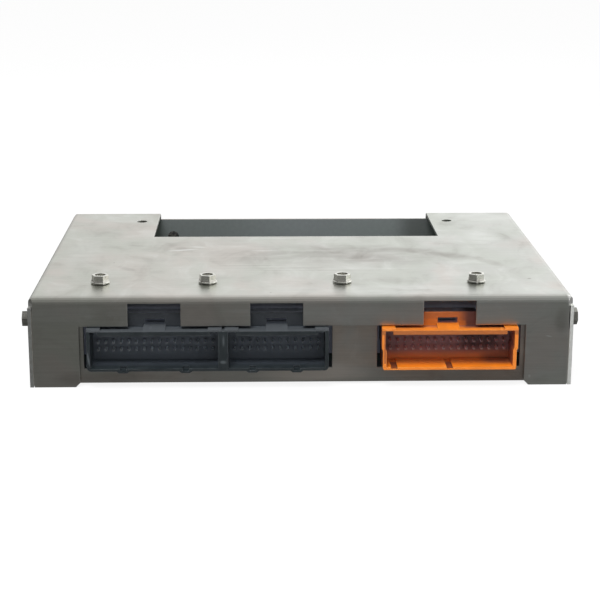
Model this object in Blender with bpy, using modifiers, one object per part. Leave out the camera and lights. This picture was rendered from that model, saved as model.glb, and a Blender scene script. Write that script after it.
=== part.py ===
"""Engine control unit in a folded aluminium case, with plug headers along its front.

Metres, +Z up. The origin is the middle of the footprint, on the surface the unit rests on.
The plug headers face -Y, and the notch in the cover is at the back, +Y.
"""

import math
from collections import namedtuple

import bmesh
import bpy
from mathutils import Matrix, Vector

# Clearances
touch_gap = 0.0003
screw_clearance = 0.0003
board_edge_gap = 0.0006

# Cover, one folded sheet
cover_width = 0.180
cover_depth = 0.140
cover_height = 0.0304
sheet = 0.0012
bend_radius = 0.0020
bend_steps = 4
corner_cut_across = 0.0017
corner_cut_along = 0.0028
corner_cut_drop = 0.0032
corner_seam = 0.0003
opening_shift = 0.0004
front_flange_drop = 0.0096
leg_width = 0.0162
leg_chamfer = 0.0015
latch_notch_width = 0.0174
latch_notch_drop = 0.0019
orange_notch_drop = 0.0014
rear_notch_half_width = 0.0547
rear_notch_depth = 0.0464
rear_flange_drop = 0.0130
ear_hole_diameter = 0.0042
ear_hole_x = 0.0613
ear_hole_from_back = 0.0175

# Tray, one folded sheet
tray_lift = 0.0005
tray_wall_top_drop = 0.0023
cutout_side_gap = 0.0013
cutout_bottom_gap = 0.0003
rear_hole_diameter = 0.0045
rear_hole_x = -0.0492
rear_hole_drop = 0.0095

# Circuit board
board_thickness = 0.0016
board_above_floor = 0.0026

# Plug headers
header_proud = 0.0028
pin_pitch = 0.00254
header_top_drop = 0.0106
shroud_top_wall = 0.0015
shroud_bottom_wall = 0.0009
shroud_side_wall = 0.00115
black_corner = 0.0013
orange_corner = 0.0006
orange_step = 0.0004
orange_step_drop = 0.0067
black_end_margin = 0.0020
orange_end_margin = 0.0023
socket_divider = 0.0033
socket_depth = 0.0110
header_back_wall = 0.0030
corner_block_width = 0.0045
corner_block_rise = 0.0006
corner_block_wall = 0.0008
key_groove_width = 0.0021
key_groove_depth = 0.0005
key_bulge_width = 0.0044
key_bulge_foot = 0.0027
key_bulge_depth = 0.0006
black_32_from_left = 0.0414
orange_32_from_right = 0.0411
columns_of_32 = 16
columns_of_24 = 12
keys_of_32 = (-0.0103, 0.0103)
keys_of_24 = (-0.0080, 0.0066)
keys_of_orange = (-0.0183, 0.0001)

# Latch catch over each socket
latch_tower_width = 0.0192
latch_tower_height = 0.0048
latch_tower_depth = 0.0052
latch_bar_height = 0.0020
latch_slot_width = 0.0066
latch_ramp_width = 0.0073
latch_ramp_rise = 0.0010
latch_ramp_edge = 0.0006
orange_latch_shift = -0.0004

# Terminals
pin_width = 0.00064
pin_tip_recess = 0.0068
pin_tail_gap = 0.0024
pin_hole_width = 0.00115
pin_below_board = 0.0009
carrier_margin = 0.0011

# Heat sink bar and the drivers clamped to it
bar_thickness = 0.0066
bar_end_gap = 0.0113
cover_screw_setback = 0.0205
cover_screw_columns = (-67.9, -31.5, 14.3, 60.1)
cover_screw_turns = (9, -1, 8, -20)
driver_count = 6
driver_pitch = 0.0200
first_driver_x = -0.0520
driver_rise = 0.00045
driver_width = 0.0100
driver_body_height = 0.0088
driver_body_depth = 0.0045
driver_tab_depth = 0.0013
driver_tab_height = 0.0152
driver_lead_width = 0.0008
driver_lead_depth = 0.0005
driver_lead_pitch = 0.00254
clamp_thickness = 0.0010
clamp_rail_height = 0.0062
clamp_overhang = 0.0062
clamp_finger_width = 0.0060
clamp_finger_length = 0.0042

# Screws and stand-offs
screw_shank_diameter = 0.0030
screw_washer_diameter = 0.0065
screw_washer_thickness = 0.0007
screw_across_flats = 0.0050
screw_head_height = 0.0027
screw_dimple_diameter = 0.0038
screw_dimple_depth = 0.0008
cover_screw_length = 0.0090
side_screw_length = 0.0050
side_screw_setback = 0.0100
side_screw_drop = 0.0094
board_screw_length = 0.0034
board_screw_head_diameter = 0.0056
board_screw_head_height = 0.0018
board_screw_slot_width = 0.0009
board_screw_slot_depth = 0.0008
stand_off_diameter = 0.0062
stand_off_from_wall = 0.0083
front_stand_off_setback = 0.0330

# Parts on the board, placed on a plan grid that is laid over the cover: columns to each side
# of the middle, and rows back from the front edge
plan_columns = 180
plan_rows = 140
lead_width = 0.0008
lead_thickness = 0.0004
lead_bite = 0.0002
processor_side = 0.0240
processor_height = 0.0042
processor_leads = 8
processor_lead_pitch = 0.00254
processor_place = (-35, 62)
socket_length = 0.0400
socket_width_across = 0.0190
socket_height = 0.0060
socket_wall = 0.0020
socket_floor = 0.0015
memory_place = (4, 112)
module_height = 0.0062
grip_height = 0.0030
grip_width = 0.0050
chip_length = 0.0260
chip_width = 0.0135
chip_height = 0.0036
chip_stand_off = 0.0008
chip_leads = 10
chip_lead_pitch = 0.00254
chip_places = ((13, 50), (13, 74), (60, 56))
pack_length = 0.0254
pack_thickness = 0.0024
pack_height = 0.0052
pack_leads = 10
pack_lead_pitch = 0.00254
pack_places = ((-35, 42), (-35, 86))
capacitor_diameter = 0.0100
capacitor_height = 0.0160
capacitor_rim = 0.0006
capacitor_neck_depth = 0.0005
capacitor_neck_height = 0.0022
capacitor_places = ((-70, 48), (-70, 62), (-70, 76))
crystal_length = 0.0110
crystal_width = 0.0045
crystal_height = 0.0035
crystal_rim = 0.0005
crystal_place = (-8, 90)
coil_radius = 0.0062
coil_thickness = 0.0022
coil_place = (61, 86)

# Places worked out from the sizes above
front = header_proud - (cover_depth + header_proud) / 2
back = front + cover_depth
half_width = cover_width / 2
cover_under = cover_height - sheet
floor_top = tray_lift + sheet
board_bottom = floor_top + board_above_floor
board_top = board_bottom + board_thickness
on_board = board_top + touch_gap
tray_half_width = half_width - sheet - touch_gap
tray_front = front + sheet + touch_gap
tray_back = back - sheet - touch_gap
tray_top = cover_height - tray_wall_top_drop
tray_half_inside = tray_half_width - sheet
plan_column = cover_width / plan_columns
plan_row = cover_depth / plan_rows
panel_inner = tray_front + sheet
black_32_centre_x = black_32_from_left - half_width
orange_32_centre_x = half_width - orange_32_from_right
header_front = front - header_proud
header_bottom = on_board
header_top = cover_height - header_top_drop
socket_back = header_front + socket_depth
header_back = socket_back + header_back_wall
pin_row_z = (header_bottom + shroud_bottom_wall + header_top - shroud_top_wall) / 2
carrier_half_height = pin_pitch / 2 + carrier_margin
near_tail_y = header_back + pin_tail_gap
far_tail_y = near_tail_y + pin_pitch
latch_front = panel_inner + touch_gap
bar_centre_y = front + cover_screw_setback
bar_half_length = tray_half_inside - bar_end_gap
cover_screw_xs = [column * plan_column for column in cover_screw_columns]
bar_front = bar_centre_y - bar_thickness / 2
bar_back = bar_centre_y + bar_thickness / 2
bar_top = cover_under - touch_gap
driver_front = bar_back + touch_gap
driver_centre_z = (board_top + cover_under) / 2 + driver_rise
driver_bottom = driver_centre_z - driver_tab_height / 2
clamp_front = driver_front + driver_body_depth + touch_gap
driver_tab_top = driver_bottom + driver_tab_height
driver_body_top = driver_bottom + driver_body_height
clamp_bottom = driver_body_top + touch_gap
clamp_screw_z = clamp_bottom + clamp_rail_height / 2
screw_hole_radius = screw_shank_diameter / 2 + screw_clearance
side_screw_z = cover_height - side_screw_drop

Socket = namedtuple("Socket", "centre columns margin keys latch_shift notch_drop")

unit = bpy.data.collections.new("engine_control_unit")
cutters = bpy.data.collections.new("cutters")
anchor = bpy.data.objects.new("unit_anchor", None)


def clear_scene():
    for thing in list(bpy.context.scene.objects):
        bpy.data.objects.remove(thing, do_unlink=True)
    bpy.context.scene.collection.children.link(unit)
    bpy.context.scene.collection.children.link(cutters)
    unit.objects.link(anchor)


def material(name, colour, roughness, metallic):
    made = bpy.data.materials.new(name)
    made.use_nodes = True
    shader = made.node_tree.nodes["Principled BSDF"]
    shader.inputs["Base Color"].default_value = (*colour, 1.0)
    shader.inputs["Roughness"].default_value = roughness
    shader.inputs["Metallic"].default_value = metallic
    made.diffuse_color = (*colour, 1.0)
    return made


def place(name, mesh, location=(0, 0, 0), turn=None):
    """A helper object, hidden from renders until it is published as a piece."""
    thing = bpy.data.objects.new(name, mesh)
    thing.matrix_world = Matrix.Translation(location) @ (turn or Matrix())
    cutters.objects.link(thing)
    thing.hide_render = True
    thing.display_type = "WIRE"
    return thing


def publish(thing, name, finish):
    """Makes a helper object one of the unit's pieces."""
    cutters.objects.unlink(thing)
    unit.objects.link(thing)
    thing.name = name
    thing.parent = anchor
    thing.hide_render = False
    thing.display_type = "TEXTURED"
    if not thing.data.materials:
        thing.data.materials.append(finish)
    thing.data.shade_smooth()
    thing.data.set_sharp_from_angle(angle=math.radians(32))


def mesh_of(work, name):
    mesh = bpy.data.meshes.new(name)
    work.to_mesh(mesh)
    work.free()
    return mesh


def block(name, one_corner, other_corner):
    """A box between two opposite corners, with its origin in its middle."""
    one, other = Vector(one_corner), Vector(other_corner)
    size = [abs(length) for length in other - one]
    work = bmesh.new()
    bmesh.ops.create_cube(work, size=1.0, matrix=Matrix.Diagonal((*size, 1.0)))
    return place(name, mesh_of(work, name), (one + other) / 2)


def bevel_edges(thing, width, steps, chosen):
    """Rounds the edges whose two ends both pass the test."""
    work = bmesh.new()
    work.from_mesh(thing.data)
    edges = [edge for edge in work.edges if all(chosen(end.co) for end in edge.verts)]
    bmesh.ops.bevel(work, geom=edges, offset=width, segments=steps, profile=0.5, affect="EDGES")
    work.to_mesh(thing.data)
    work.free()


def folded_box(name, low, high, radius, face):
    """A box whose edges round its top (+1) or bottom (-1) face are bent to a radius."""
    thing = block(name, low, high)
    level = face * (high[2] - low[2]) / 2
    bevel_edges(thing, radius, bend_steps, lambda point: abs(point.z - level) < touch_gap)
    return thing


def rod(name, centre, radius, length, axis="Z", sides=14):
    """A cylinder about its centre, along X, Y or Z."""
    work = bmesh.new()
    bmesh.ops.create_cone(work, cap_ends=True, segments=sides, radius1=radius, radius2=radius, depth=length)
    tilts = {
        "X": Matrix.Rotation(math.pi / 2, 4, "Y"),
        "Y": Matrix.Rotation(math.pi / 2, 4, "X"),
        "Z": Matrix(),
    }
    return place(name, mesh_of(work, name), centre, tilts[axis])


def slab(name, outline, axis, start, end):
    """A flat outline given a thickness.

    Its points are (y, z) along X, (x, z) along Y and (x, y) along Z.
    """
    curve = bpy.data.curves.new(name, "CURVE")
    curve.dimensions = "2D"
    curve.fill_mode = "BOTH"
    curve.extrude = (end - start) / 2
    spline = curve.splines.new("POLY")
    spline.points.add(len(outline) - 1)
    for point, (across, up) in zip(spline.points, outline):
        point.co = (across, up, 0, 1)
    spline.use_cyclic_u = True
    middle = (start + end) / 2
    frames = {
        "X": Matrix(((0, 0, 1, middle), (1, 0, 0, 0), (0, 1, 0, 0), (0, 0, 0, 1))),
        "Y": Matrix(((1, 0, 0, 0), (0, 0, -1, middle), (0, 1, 0, 0), (0, 0, 0, 1))),
        "Z": Matrix.Translation((0, 0, middle)),
    }
    guide = bpy.data.objects.new(name, curve)
    guide.matrix_world = frames[axis]
    cutters.objects.link(guide)
    return meshed(guide)


def meshed(guide):
    """A curve made into a welded mesh, so that it can be cut or joined."""
    bpy.context.view_layer.update()
    name, frame = guide.name, guide.matrix_world.copy()
    graph = bpy.context.evaluated_depsgraph_get()
    mesh = bpy.data.meshes.new_from_object(guide.evaluated_get(graph))
    bpy.data.objects.remove(guide, do_unlink=True)
    work = bmesh.new()
    work.from_mesh(mesh)
    bmesh.ops.remove_doubles(work, verts=work.verts, dist=1e-7)
    bmesh.ops.recalc_face_normals(work, faces=work.faces)
    work.to_mesh(mesh)
    work.free()
    mesh.materials.clear()
    return place(name, mesh, turn=frame)


def turned(name, profile, steps):
    """A turned piece. The profile is (radius, height) points from the top of the axis down to its foot."""
    work = bmesh.new()
    points = [work.verts.new((radius, 0, height)) for radius, height in profile]
    for upper, lower in zip(points, points[1:]):
        work.edges.new((upper, lower))
    thing = place(name, mesh_of(work, name))
    screw = thing.modifiers.new("turn", "SCREW")
    screw.steps = steps
    screw.render_steps = steps
    screw.use_merge_vertices = True
    screw.merge_threshold = 0.00001
    return thing


def boolean(target, tool, operation):
    step = target.modifiers.new(tool.name, "BOOLEAN")
    step.operation = operation
    step.solver = "EXACT"
    step.object = tool


def cut(target, *tools):
    for tool in tools:
        boolean(target, tool, "DIFFERENCE")


def join(target, *tools):
    for tool in tools:
        boolean(target, tool, "UNION")


def merged(name, pieces):
    """Separate shapes that never meet, as one mesh, so that many holes or pins take one Boolean."""
    bpy.context.view_layer.update()
    work = bmesh.new()
    for piece in pieces:
        start = len(work.verts)
        work.from_mesh(piece.data)
        work.verts.ensure_lookup_table()
        bmesh.ops.transform(work, matrix=piece.matrix_world, verts=work.verts[start:])
        bpy.data.objects.remove(piece, do_unlink=True)
    return place(name, mesh_of(work, name))


def settled(thing):
    """The finished mesh of a piece, about the world's origin, for copies to share."""
    bpy.context.view_layer.update()
    graph = bpy.context.evaluated_depsgraph_get()
    mesh = bpy.data.meshes.new_from_object(thing.evaluated_get(graph))
    mesh.transform(thing.matrix_world)
    bpy.data.objects.remove(thing, do_unlink=True)
    return mesh


def publish_copies(name, mesh, places, finish, turns=None):
    """One object for each place, all with the same mesh."""
    for number, where in enumerate(places, 1):
        turn = turns[number - 1] if turns else None
        publish(place(name, mesh, where, turn), f"{name}_{number}", finish)


def publish_one(name, thing, spot, finish):
    """A piece made about the world's origin, settled and put at its place on the board."""
    publish(place(name, settled(thing), on_plan(spot)), name, finish)


def row_of(count, pitch):
    return [(index - (count - 1) / 2) * pitch for index in range(count)]


def on_plan(spot, height=0.0):
    """A place on the board, from its column and row on the plan."""
    return (spot[0] * plan_column, front + spot[1] * plan_row, height)


def cavity_width(columns, margin):
    return (columns - 1) * pin_pitch + 2 * margin


def black_sockets():
    """The 32-way socket, and the 24-way one to its right."""
    widths = [cavity_width(columns, black_end_margin) for columns in (columns_of_32, columns_of_24)]
    both_halves = sum(widths) / 2
    second_x = black_32_centre_x + both_halves + socket_divider
    return (
        Socket(black_32_centre_x, columns_of_32, black_end_margin, keys_of_32, 0, latch_notch_drop),
        Socket(second_x, columns_of_24, black_end_margin, keys_of_24, 0, latch_notch_drop),
    )


def orange_sockets():
    return (
        Socket(
            orange_32_centre_x,
            columns_of_32,
            orange_end_margin,
            keys_of_orange,
            orange_latch_shift,
            orange_notch_drop,
        ),
    )


def all_sockets():
    return (*black_sockets(), *orange_sockets())


def cavity_sides(socket):
    """The inner X limits of a socket."""
    half = cavity_width(socket.columns, socket.margin) / 2
    return socket.centre - half, socket.centre + half


def header_span(sockets):
    """The outer X limits of a header."""
    return cavity_sides(sockets[0])[0] - shroud_side_wall, cavity_sides(sockets[-1])[1] + shroud_side_wall


def corner_reliefs():
    """The open corners of the folded cover: a slanting cut across each, and a seam down it."""
    tools = []
    cut_foot = cover_height - corner_cut_drop
    for side in (-1, 1):
        for end_y, outward in ((front, -1), (back, 1)):
            edge = side * half_width
            outline = (
                (edge - side * corner_cut_across, end_y),
                (edge, end_y - outward * corner_cut_along),
                (edge + side * sheet, end_y - outward * corner_cut_along),
                (edge + side * sheet, end_y + outward * sheet),
                (edge - side * corner_cut_across, end_y + outward * sheet),
            )
            seam_x = side * (half_width - sheet)
            seam = block(
                "corner_seam",
                (seam_x, end_y + outward * sheet, -sheet),
                (
                    seam_x - side * corner_seam,
                    end_y - outward * (sheet + touch_gap),
                    cut_foot + corner_seam,
                ),
            )
            tools += [slab("corner_cut", outline, "Z", cut_foot, cover_height + sheet), seam]
    return tools


def front_mouth():
    """The opening between the two front legs, under the front flange."""
    left = opening_shift - half_width + leg_width
    right = opening_shift + half_width - leg_width
    mouth_top = cover_height - front_flange_drop
    outline = (
        (left - leg_chamfer, -sheet),
        (right + leg_chamfer, -sheet),
        (right + leg_chamfer, 0),
        (right, leg_chamfer),
        (right, mouth_top),
        (left, mouth_top),
        (left, leg_chamfer),
        (left - leg_chamfer, 0),
    )
    return slab("front_mouth", outline, "Y", front - sheet, front + 2 * sheet)


def latch_notches():
    half = latch_notch_width / 2
    bottom = cover_height - front_flange_drop - sheet
    return [
        block(
            "latch_notch",
            (socket.centre - half, front - sheet, bottom),
            (socket.centre + half, front + 2 * sheet, cover_height - socket.notch_drop),
        )
        for socket in all_sockets()
    ]


def rear_openings():
    """The notch in the cover's back, the mouth under its rear flanges, and the holes in its two ears."""
    notch = block(
        "rear_notch",
        (opening_shift - rear_notch_half_width, back - rear_notch_depth, -sheet),
        (opening_shift + rear_notch_half_width, back + sheet, cover_height + sheet),
    )
    edge = half_width - sheet - corner_seam
    mouth = block(
        "rear_mouth",
        (-edge, back - 2 * sheet, -sheet),
        (edge, back + sheet, cover_height - rear_flange_drop),
    )
    ear_hole_y = back - ear_hole_from_back
    ears = [
        rod("ear_hole", (x, ear_hole_y, cover_height), ear_hole_diameter / 2, 4 * sheet, sides=20)
        for x in (opening_shift - ear_hole_x, opening_shift + ear_hole_x)
    ]
    return [notch, mouth, merged("ear_holes", ears)]


def cover_screw_holes(name, z, length):
    holes = [rod("screw_hole", (x, bar_centre_y, z), screw_hole_radius, length) for x in cover_screw_xs]
    return merged(name, holes)


def side_screw_holes(name):
    y = front + side_screw_setback
    holes = [
        rod("side_hole", (side * half_width, y, side_screw_z), screw_hole_radius, 10 * sheet, "X")
        for side in (-1, 1)
    ]
    return merged(name, holes)


def make_cover(finish):
    low = Vector((-half_width, front, 0))
    high = Vector((half_width, back, cover_height))
    skin = Vector((sheet, sheet, sheet))
    cover = folded_box("cover", low, high, bend_radius, 1)
    inner_low = low + skin
    inner_low.z = -sheet
    hollow = folded_box("cover_hollow", inner_low, high - skin, bend_radius - sheet, 1)
    cut(cover, hollow, front_mouth(), *latch_notches(), *rear_openings(), *corner_reliefs())
    top_holes = cover_screw_holes("cover_holes", cover_height, 4 * sheet)
    cut(cover, top_holes, side_screw_holes("cover_side_holes"))
    publish(cover, "cover", finish)


def header_cutout(name, sockets):
    """The opening in the tray's front for a header, open at its top."""
    low, high = header_span(sockets)
    return block(
        name,
        (low - cutout_side_gap, tray_front - sheet, header_bottom - cutout_bottom_gap),
        (high + cutout_side_gap, panel_inner + sheet, cover_height),
    )


def make_tray(finish):
    low = Vector((-tray_half_width, tray_front, tray_lift))
    high = Vector((tray_half_width, tray_back, tray_top))
    skin = Vector((sheet, sheet, sheet))
    tray = folded_box("case_tray", low, high, bend_radius, -1)
    inner_high = high - skin
    inner_high.z = tray_top + sheet
    hollow = folded_box("tray_hollow", low + skin, inner_high, bend_radius - sheet, -1)
    hole_centre = (rear_hole_x, tray_back, cover_height - rear_hole_drop)
    rear_hole = rod("rear_hole", hole_centre, rear_hole_diameter / 2, 4 * sheet, "Y", 20)
    cut(tray, hollow, header_cutout("black_cutout", black_sockets()))
    orange_cutout = header_cutout("orange_cutout", orange_sockets())
    cut(tray, orange_cutout, rear_hole, side_screw_holes("tray_side_holes"))
    publish(tray, "case_tray", finish)


def quarter(x, z, radius, from_angle):
    """Points round a quarter of a shroud's outside corner."""
    angles = [math.radians(from_angle + 30 * step) for step in range(4)]
    return [(x + radius * math.cos(angle), z + radius * math.sin(angle)) for angle in angles]


def upper_sides(left, right, step, top):
    """The points over a shroud's lower half, which is narrower by a step on each side."""
    if not step:
        return [(right, top), (left, top)]
    step_z = header_top - orange_step_drop
    return [
        (right - step, step_z - step),
        (right, step_z + step),
        (right, top),
        (left, top),
        (left, step_z + step),
        (left + step, step_z - step),
    ]


def shroud_outline(low, high, step, radius):
    corner_z = header_bottom + radius
    left = quarter(low + step + radius, corner_z, radius, 180)
    right = quarter(high - step - radius, corner_z, radius, 270)
    return left + right + upper_sides(low, high, step, header_top)


def cavity_outline(socket, step):
    low, high = cavity_sides(socket)
    floor = header_bottom + shroud_bottom_wall
    ceiling = header_top - shroud_top_wall
    return [(low + step, floor), (high - step, floor)] + upper_sides(low, high, step, ceiling)


def corner_block(label, socket, side):
    """A raised block over one top corner of a socket, and the pocket inside it."""
    wall = cavity_sides(socket)[(side + 1) // 2]
    outer = wall + side * shroud_side_wall
    inner = outer - side * corner_block_width
    raised = block(
        f"{label}_block_{side}",
        (inner, header_front, header_top - shroud_top_wall),
        (outer, latch_front, header_top + corner_block_rise),
    )
    pocket = block(
        f"{label}_pocket_{side}",
        (inner + side * corner_block_wall, header_front - sheet, header_top - 2 * shroud_top_wall),
        (wall, latch_front - corner_block_wall, header_top - touch_gap),
    )
    return raised, pocket


def latch_catch(label, centre):
    """The catch for a plug's latch: a ramp with a sharp back, and a bridge over the hollow behind it."""
    root = header_top - shroud_top_wall / 2
    tower_top = header_top + latch_tower_height
    ramp_top = header_top + latch_ramp_rise
    ramp_back = latch_front + latch_ramp_edge
    hollow_floor = header_top + touch_gap
    bridge_bottom = tower_top - latch_bar_height
    tower_back = latch_front + latch_tower_depth
    tower = block(
        f"{label}_tower",
        (centre - latch_tower_width / 2, latch_front, root),
        (centre + latch_tower_width / 2, tower_back, tower_top),
    )
    slot = slab(
        f"{label}_slot",
        (
            (latch_front - sheet, ramp_top),
            (ramp_back, ramp_top),
            (ramp_back, hollow_floor),
            (tower_back + sheet, hollow_floor),
            (tower_back + sheet, bridge_bottom),
            (latch_front - sheet, bridge_bottom),
        ),
        "X",
        centre - latch_slot_width / 2,
        centre + latch_slot_width / 2,
    )
    ramp = slab(
        f"{label}_ramp",
        (
            (header_front + touch_gap, root),
            (latch_front + latch_ramp_edge / 2, root),
            (latch_front + latch_ramp_edge / 2, ramp_top - latch_ramp_edge / 2),
            (latch_front, ramp_top),
            (header_front + touch_gap, header_top),
        ),
        "X",
        centre - latch_ramp_width / 2,
        centre + latch_ramp_width / 2,
    )
    return tower, ramp, slot


def key_bulge(label, centre):
    """A channel that bulges under the shroud's floor, in front of the panel."""
    top = header_bottom + shroud_bottom_wall / 2
    foot = header_bottom - key_bulge_depth
    outline = (
        (centre - key_bulge_width / 2, top),
        (centre - key_bulge_width / 2, header_bottom),
        (centre - key_bulge_foot / 2, foot),
        (centre + key_bulge_foot / 2, foot),
        (centre + key_bulge_width / 2, header_bottom),
        (centre + key_bulge_width / 2, top),
    )
    return slab(label, outline, "Y", header_front, tray_front - touch_gap)


def key_groove(label, centre, depth, end):
    """A groove in a socket's floor for the rib of a plug."""
    floor = header_bottom + shroud_bottom_wall
    half = key_groove_width / 2
    low = (centre - half, header_front - sheet, floor - depth)
    return block(label, low, (centre + half, end, floor + sheet))


def pin_window(label, socket):
    """The opening in a socket's back wall that the carrier of its pins closes."""
    half = (socket.columns - 1) * pin_pitch / 2 + carrier_margin + touch_gap
    return block(
        label,
        (socket.centre - half, socket_back - sheet, pin_row_z - carrier_half_height - touch_gap),
        (socket.centre + half, header_back + sheet, pin_row_z + carrier_half_height + touch_gap),
    )


def make_header(name, sockets, step, radius, bulged, finish):
    """A moulded shroud with a cavity, two corner blocks, a latch catch and keys for each of its sockets."""
    low, high = header_span(sockets)
    header = slab(name, shroud_outline(low, high, step, radius), "Y", header_front, header_back)
    added, removed = [], []
    groove_depth, groove_end = key_groove_depth, socket_back
    if bulged:
        groove_depth += key_bulge_depth / 2
        groove_end = tray_front - touch_gap - shroud_bottom_wall
    for number, socket in enumerate(sockets):
        label = f"{name}_{number}"
        outline = cavity_outline(socket, step)
        removed.append(slab(f"{label}_cavity", outline, "Y", header_front - sheet, socket_back))
        for side in (-1, 1):
            raised, pocket = corner_block(label, socket, side)
            added.append(raised)
            removed.append(pocket)
        tower, ramp, slot = latch_catch(label, socket.centre + socket.latch_shift)
        added += [tower, ramp]
        removed += [slot, pin_window(f"{label}_window", socket)]
        for key, offset in enumerate(socket.keys):
            if bulged:
                added.append(key_bulge(f"{label}_bulge_{key}", socket.centre + offset))
            key_x = socket.centre + offset
            removed.append(key_groove(f"{label}_groove_{key}", key_x, groove_depth, groove_end))
    join(header, *added)
    cut(header, *removed)
    publish(header, name, finish)


def bent_pin(name, row):
    """One right-angled pin of the lower (-1) or upper (+1) row, about X = 0."""
    half = pin_width / 2
    z = pin_row_z + row * pin_pitch / 2
    tail_y = near_tail_y if row < 0 else far_tail_y
    tail_end = board_bottom - pin_below_board
    outline = (
        (pin_tip_y(), z - half),
        (tail_y - half, z - half),
        (tail_y - half, tail_end),
        (tail_y + half, tail_end),
        (tail_y + half, z + half),
        (pin_tip_y(), z + half),
    )
    return settled(slab(name, outline, "X", -half, half))


def pin_tip_y():
    return header_front + pin_tip_recess


def make_terminals(name, socket, finish):
    """Two rows of right-angled pins held by one carrier, which closes the window behind the socket."""
    half_length = (socket.columns - 1) * pin_pitch / 2 + carrier_margin
    carrier = block(
        name,
        (socket.centre - half_length, socket_back + touch_gap, pin_row_z - carrier_half_height),
        (socket.centre + half_length, header_back, pin_row_z + carrier_half_height),
    )
    shapes = [bent_pin("pin", row) for row in (-1, 1)]
    pins = [
        place("pin", shape, (socket.centre + x, 0, 0))
        for x in row_of(socket.columns, pin_pitch)
        for shape in shapes
    ]
    join(carrier, merged(f"{name}_pins", pins))
    publish(carrier, name, finish)


def stand_off_places():
    x = tray_half_inside - stand_off_from_wall
    ys = (front + front_stand_off_setback, tray_back - sheet - stand_off_from_wall)
    return [(side * x, y) for y in ys for side in (-1, 1)]


def make_board(finish):
    edge = tray_half_width - sheet - board_edge_gap
    board = block(
        "circuit_board",
        (-edge, panel_inner + board_edge_gap, board_bottom),
        (edge, tray_back - sheet - board_edge_gap, board_top),
    )
    middle = (board_bottom + board_top) / 2
    pin_holes = [
        block(
            "pin_hole",
            (socket.centre + x - pin_hole_width / 2, y - pin_hole_width / 2, middle - 2 * board_thickness),
            (socket.centre + x + pin_hole_width / 2, y + pin_hole_width / 2, middle + 2 * board_thickness),
        )
        for socket in all_sockets()
        for x in row_of(socket.columns, pin_pitch)
        for y in (near_tail_y, far_tail_y)
    ]
    screw_holes = [
        rod("board_hole", (x, y, middle), screw_hole_radius, 3 * board_thickness)
        for x, y in stand_off_places()
    ]
    cut(board, merged("pin_holes", pin_holes), merged("board_screw_holes", screw_holes))
    publish(board, "circuit_board", finish)


def driver_xs():
    return [first_driver_x + index * driver_pitch for index in range(driver_count)]


def clamp_screw_xs():
    """The clamp's screws pass between the outer two drivers at each end."""
    xs = driver_xs()
    return [(xs[0] + xs[1]) / 2, (xs[-2] + xs[-1]) / 2]


def clamp_screw_holes(name, y, length):
    holes = [
        rod("clamp_hole", (x, y, clamp_screw_z), screw_hole_radius, length, "Y")
        for x in clamp_screw_xs()
    ]
    return merged(name, holes)


def make_bar(finish):
    low = (-bar_half_length, bar_front, on_board)
    bar = block("heat_sink_bar", low, (bar_half_length, bar_back, bar_top))
    cut(
        bar,
        cover_screw_holes("bar_holes", bar_top, 2 * cover_screw_length),
        clamp_screw_holes("bar_clamp_holes", bar_back, 1.4 * bar_thickness),
    )
    publish(bar, "heat_sink_bar", finish)


def make_drivers(finish):
    """Power drivers that stand on three leads, each with its metal tab against the bar."""
    half = driver_width / 2
    body_back = driver_front + driver_body_depth
    body = block("driver", (-half, driver_front, driver_bottom), (half, body_back, driver_body_top))
    tab = block(
        "driver_tab",
        (-half, driver_front, driver_body_top - sheet),
        (half, driver_front + driver_tab_depth, driver_tab_top),
    )
    hole_centre = (0, driver_front, (driver_body_top + driver_tab_top) / 2)
    tab_hole = rod("driver_tab_hole", hole_centre, screw_shank_diameter / 2, 4 * driver_tab_depth, "Y")
    lead_y = (driver_front + body_back) / 2
    leads = [
        block(
            "driver_lead",
            (x - driver_lead_width / 2, lead_y - driver_lead_depth / 2, on_board),
            (x + driver_lead_width / 2, lead_y + driver_lead_depth / 2, driver_bottom + sheet),
        )
        for x in row_of(3, driver_lead_pitch)
    ]
    join(body, tab, merged("driver_leads", leads))
    cut(body, tab_hole)
    publish_copies("driver", settled(body), [(x, 0, 0) for x in driver_xs()], finish)


def make_clamp(finish):
    """A spring strip screwed to the bar, with a finger that presses on each driver."""
    xs = driver_xs()
    rail_top = clamp_bottom + clamp_rail_height
    clamp_back = clamp_front + clamp_thickness
    clamp = block(
        "driver_clamp",
        (xs[0] - clamp_overhang, clamp_front, clamp_bottom),
        (xs[-1] + clamp_overhang, clamp_back, rail_top),
    )
    fingers = [
        block(
            "clamp_finger",
            (x - clamp_finger_width / 2, clamp_front, clamp_bottom - clamp_finger_length),
            (x + clamp_finger_width / 2, clamp_back, clamp_bottom + clamp_thickness),
        )
        for x in xs
    ]
    join(clamp, merged("clamp_fingers", fingers))
    cut(clamp, clamp_screw_holes("clamp_holes", clamp_front, 4 * clamp_thickness))
    publish(clamp, "driver_clamp", finish)


def hex_screw(name, length):
    """A hexagon screw with a washer face and a dimpled head. The washer's underside is at Z = 0."""
    washer_top = screw_washer_thickness
    profile = (
        (0, washer_top),
        (screw_washer_diameter / 2 - touch_gap, washer_top - touch_gap / 2),
        (screw_washer_diameter / 2, touch_gap),
        (screw_washer_diameter / 2 - touch_gap / 2, 0),
        (screw_shank_diameter / 2, 0),
        (screw_shank_diameter / 2, touch_gap - length),
        (screw_shank_diameter / 2 - touch_gap, -length),
        (0, -length),
    )
    screw = turned(name, profile, 14)
    corner_radius = screw_across_flats / 2 / math.cos(math.pi / 6)
    middle = (screw_head_height + washer_top / 2) / 2
    head = rod(f"{name}_head", (0, 0, middle), corner_radius, screw_head_height - washer_top / 2, sides=6)
    head.matrix_world = head.matrix_world @ Matrix.Rotation(math.pi / 12, 4, "Z")
    top = (0, 0, screw_head_height)
    dimple = rod(f"{name}_dimple", top, screw_dimple_diameter / 2, 2 * screw_dimple_depth, sides=12)
    join(screw, head)
    cut(screw, dimple)
    return settled(screw)


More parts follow.
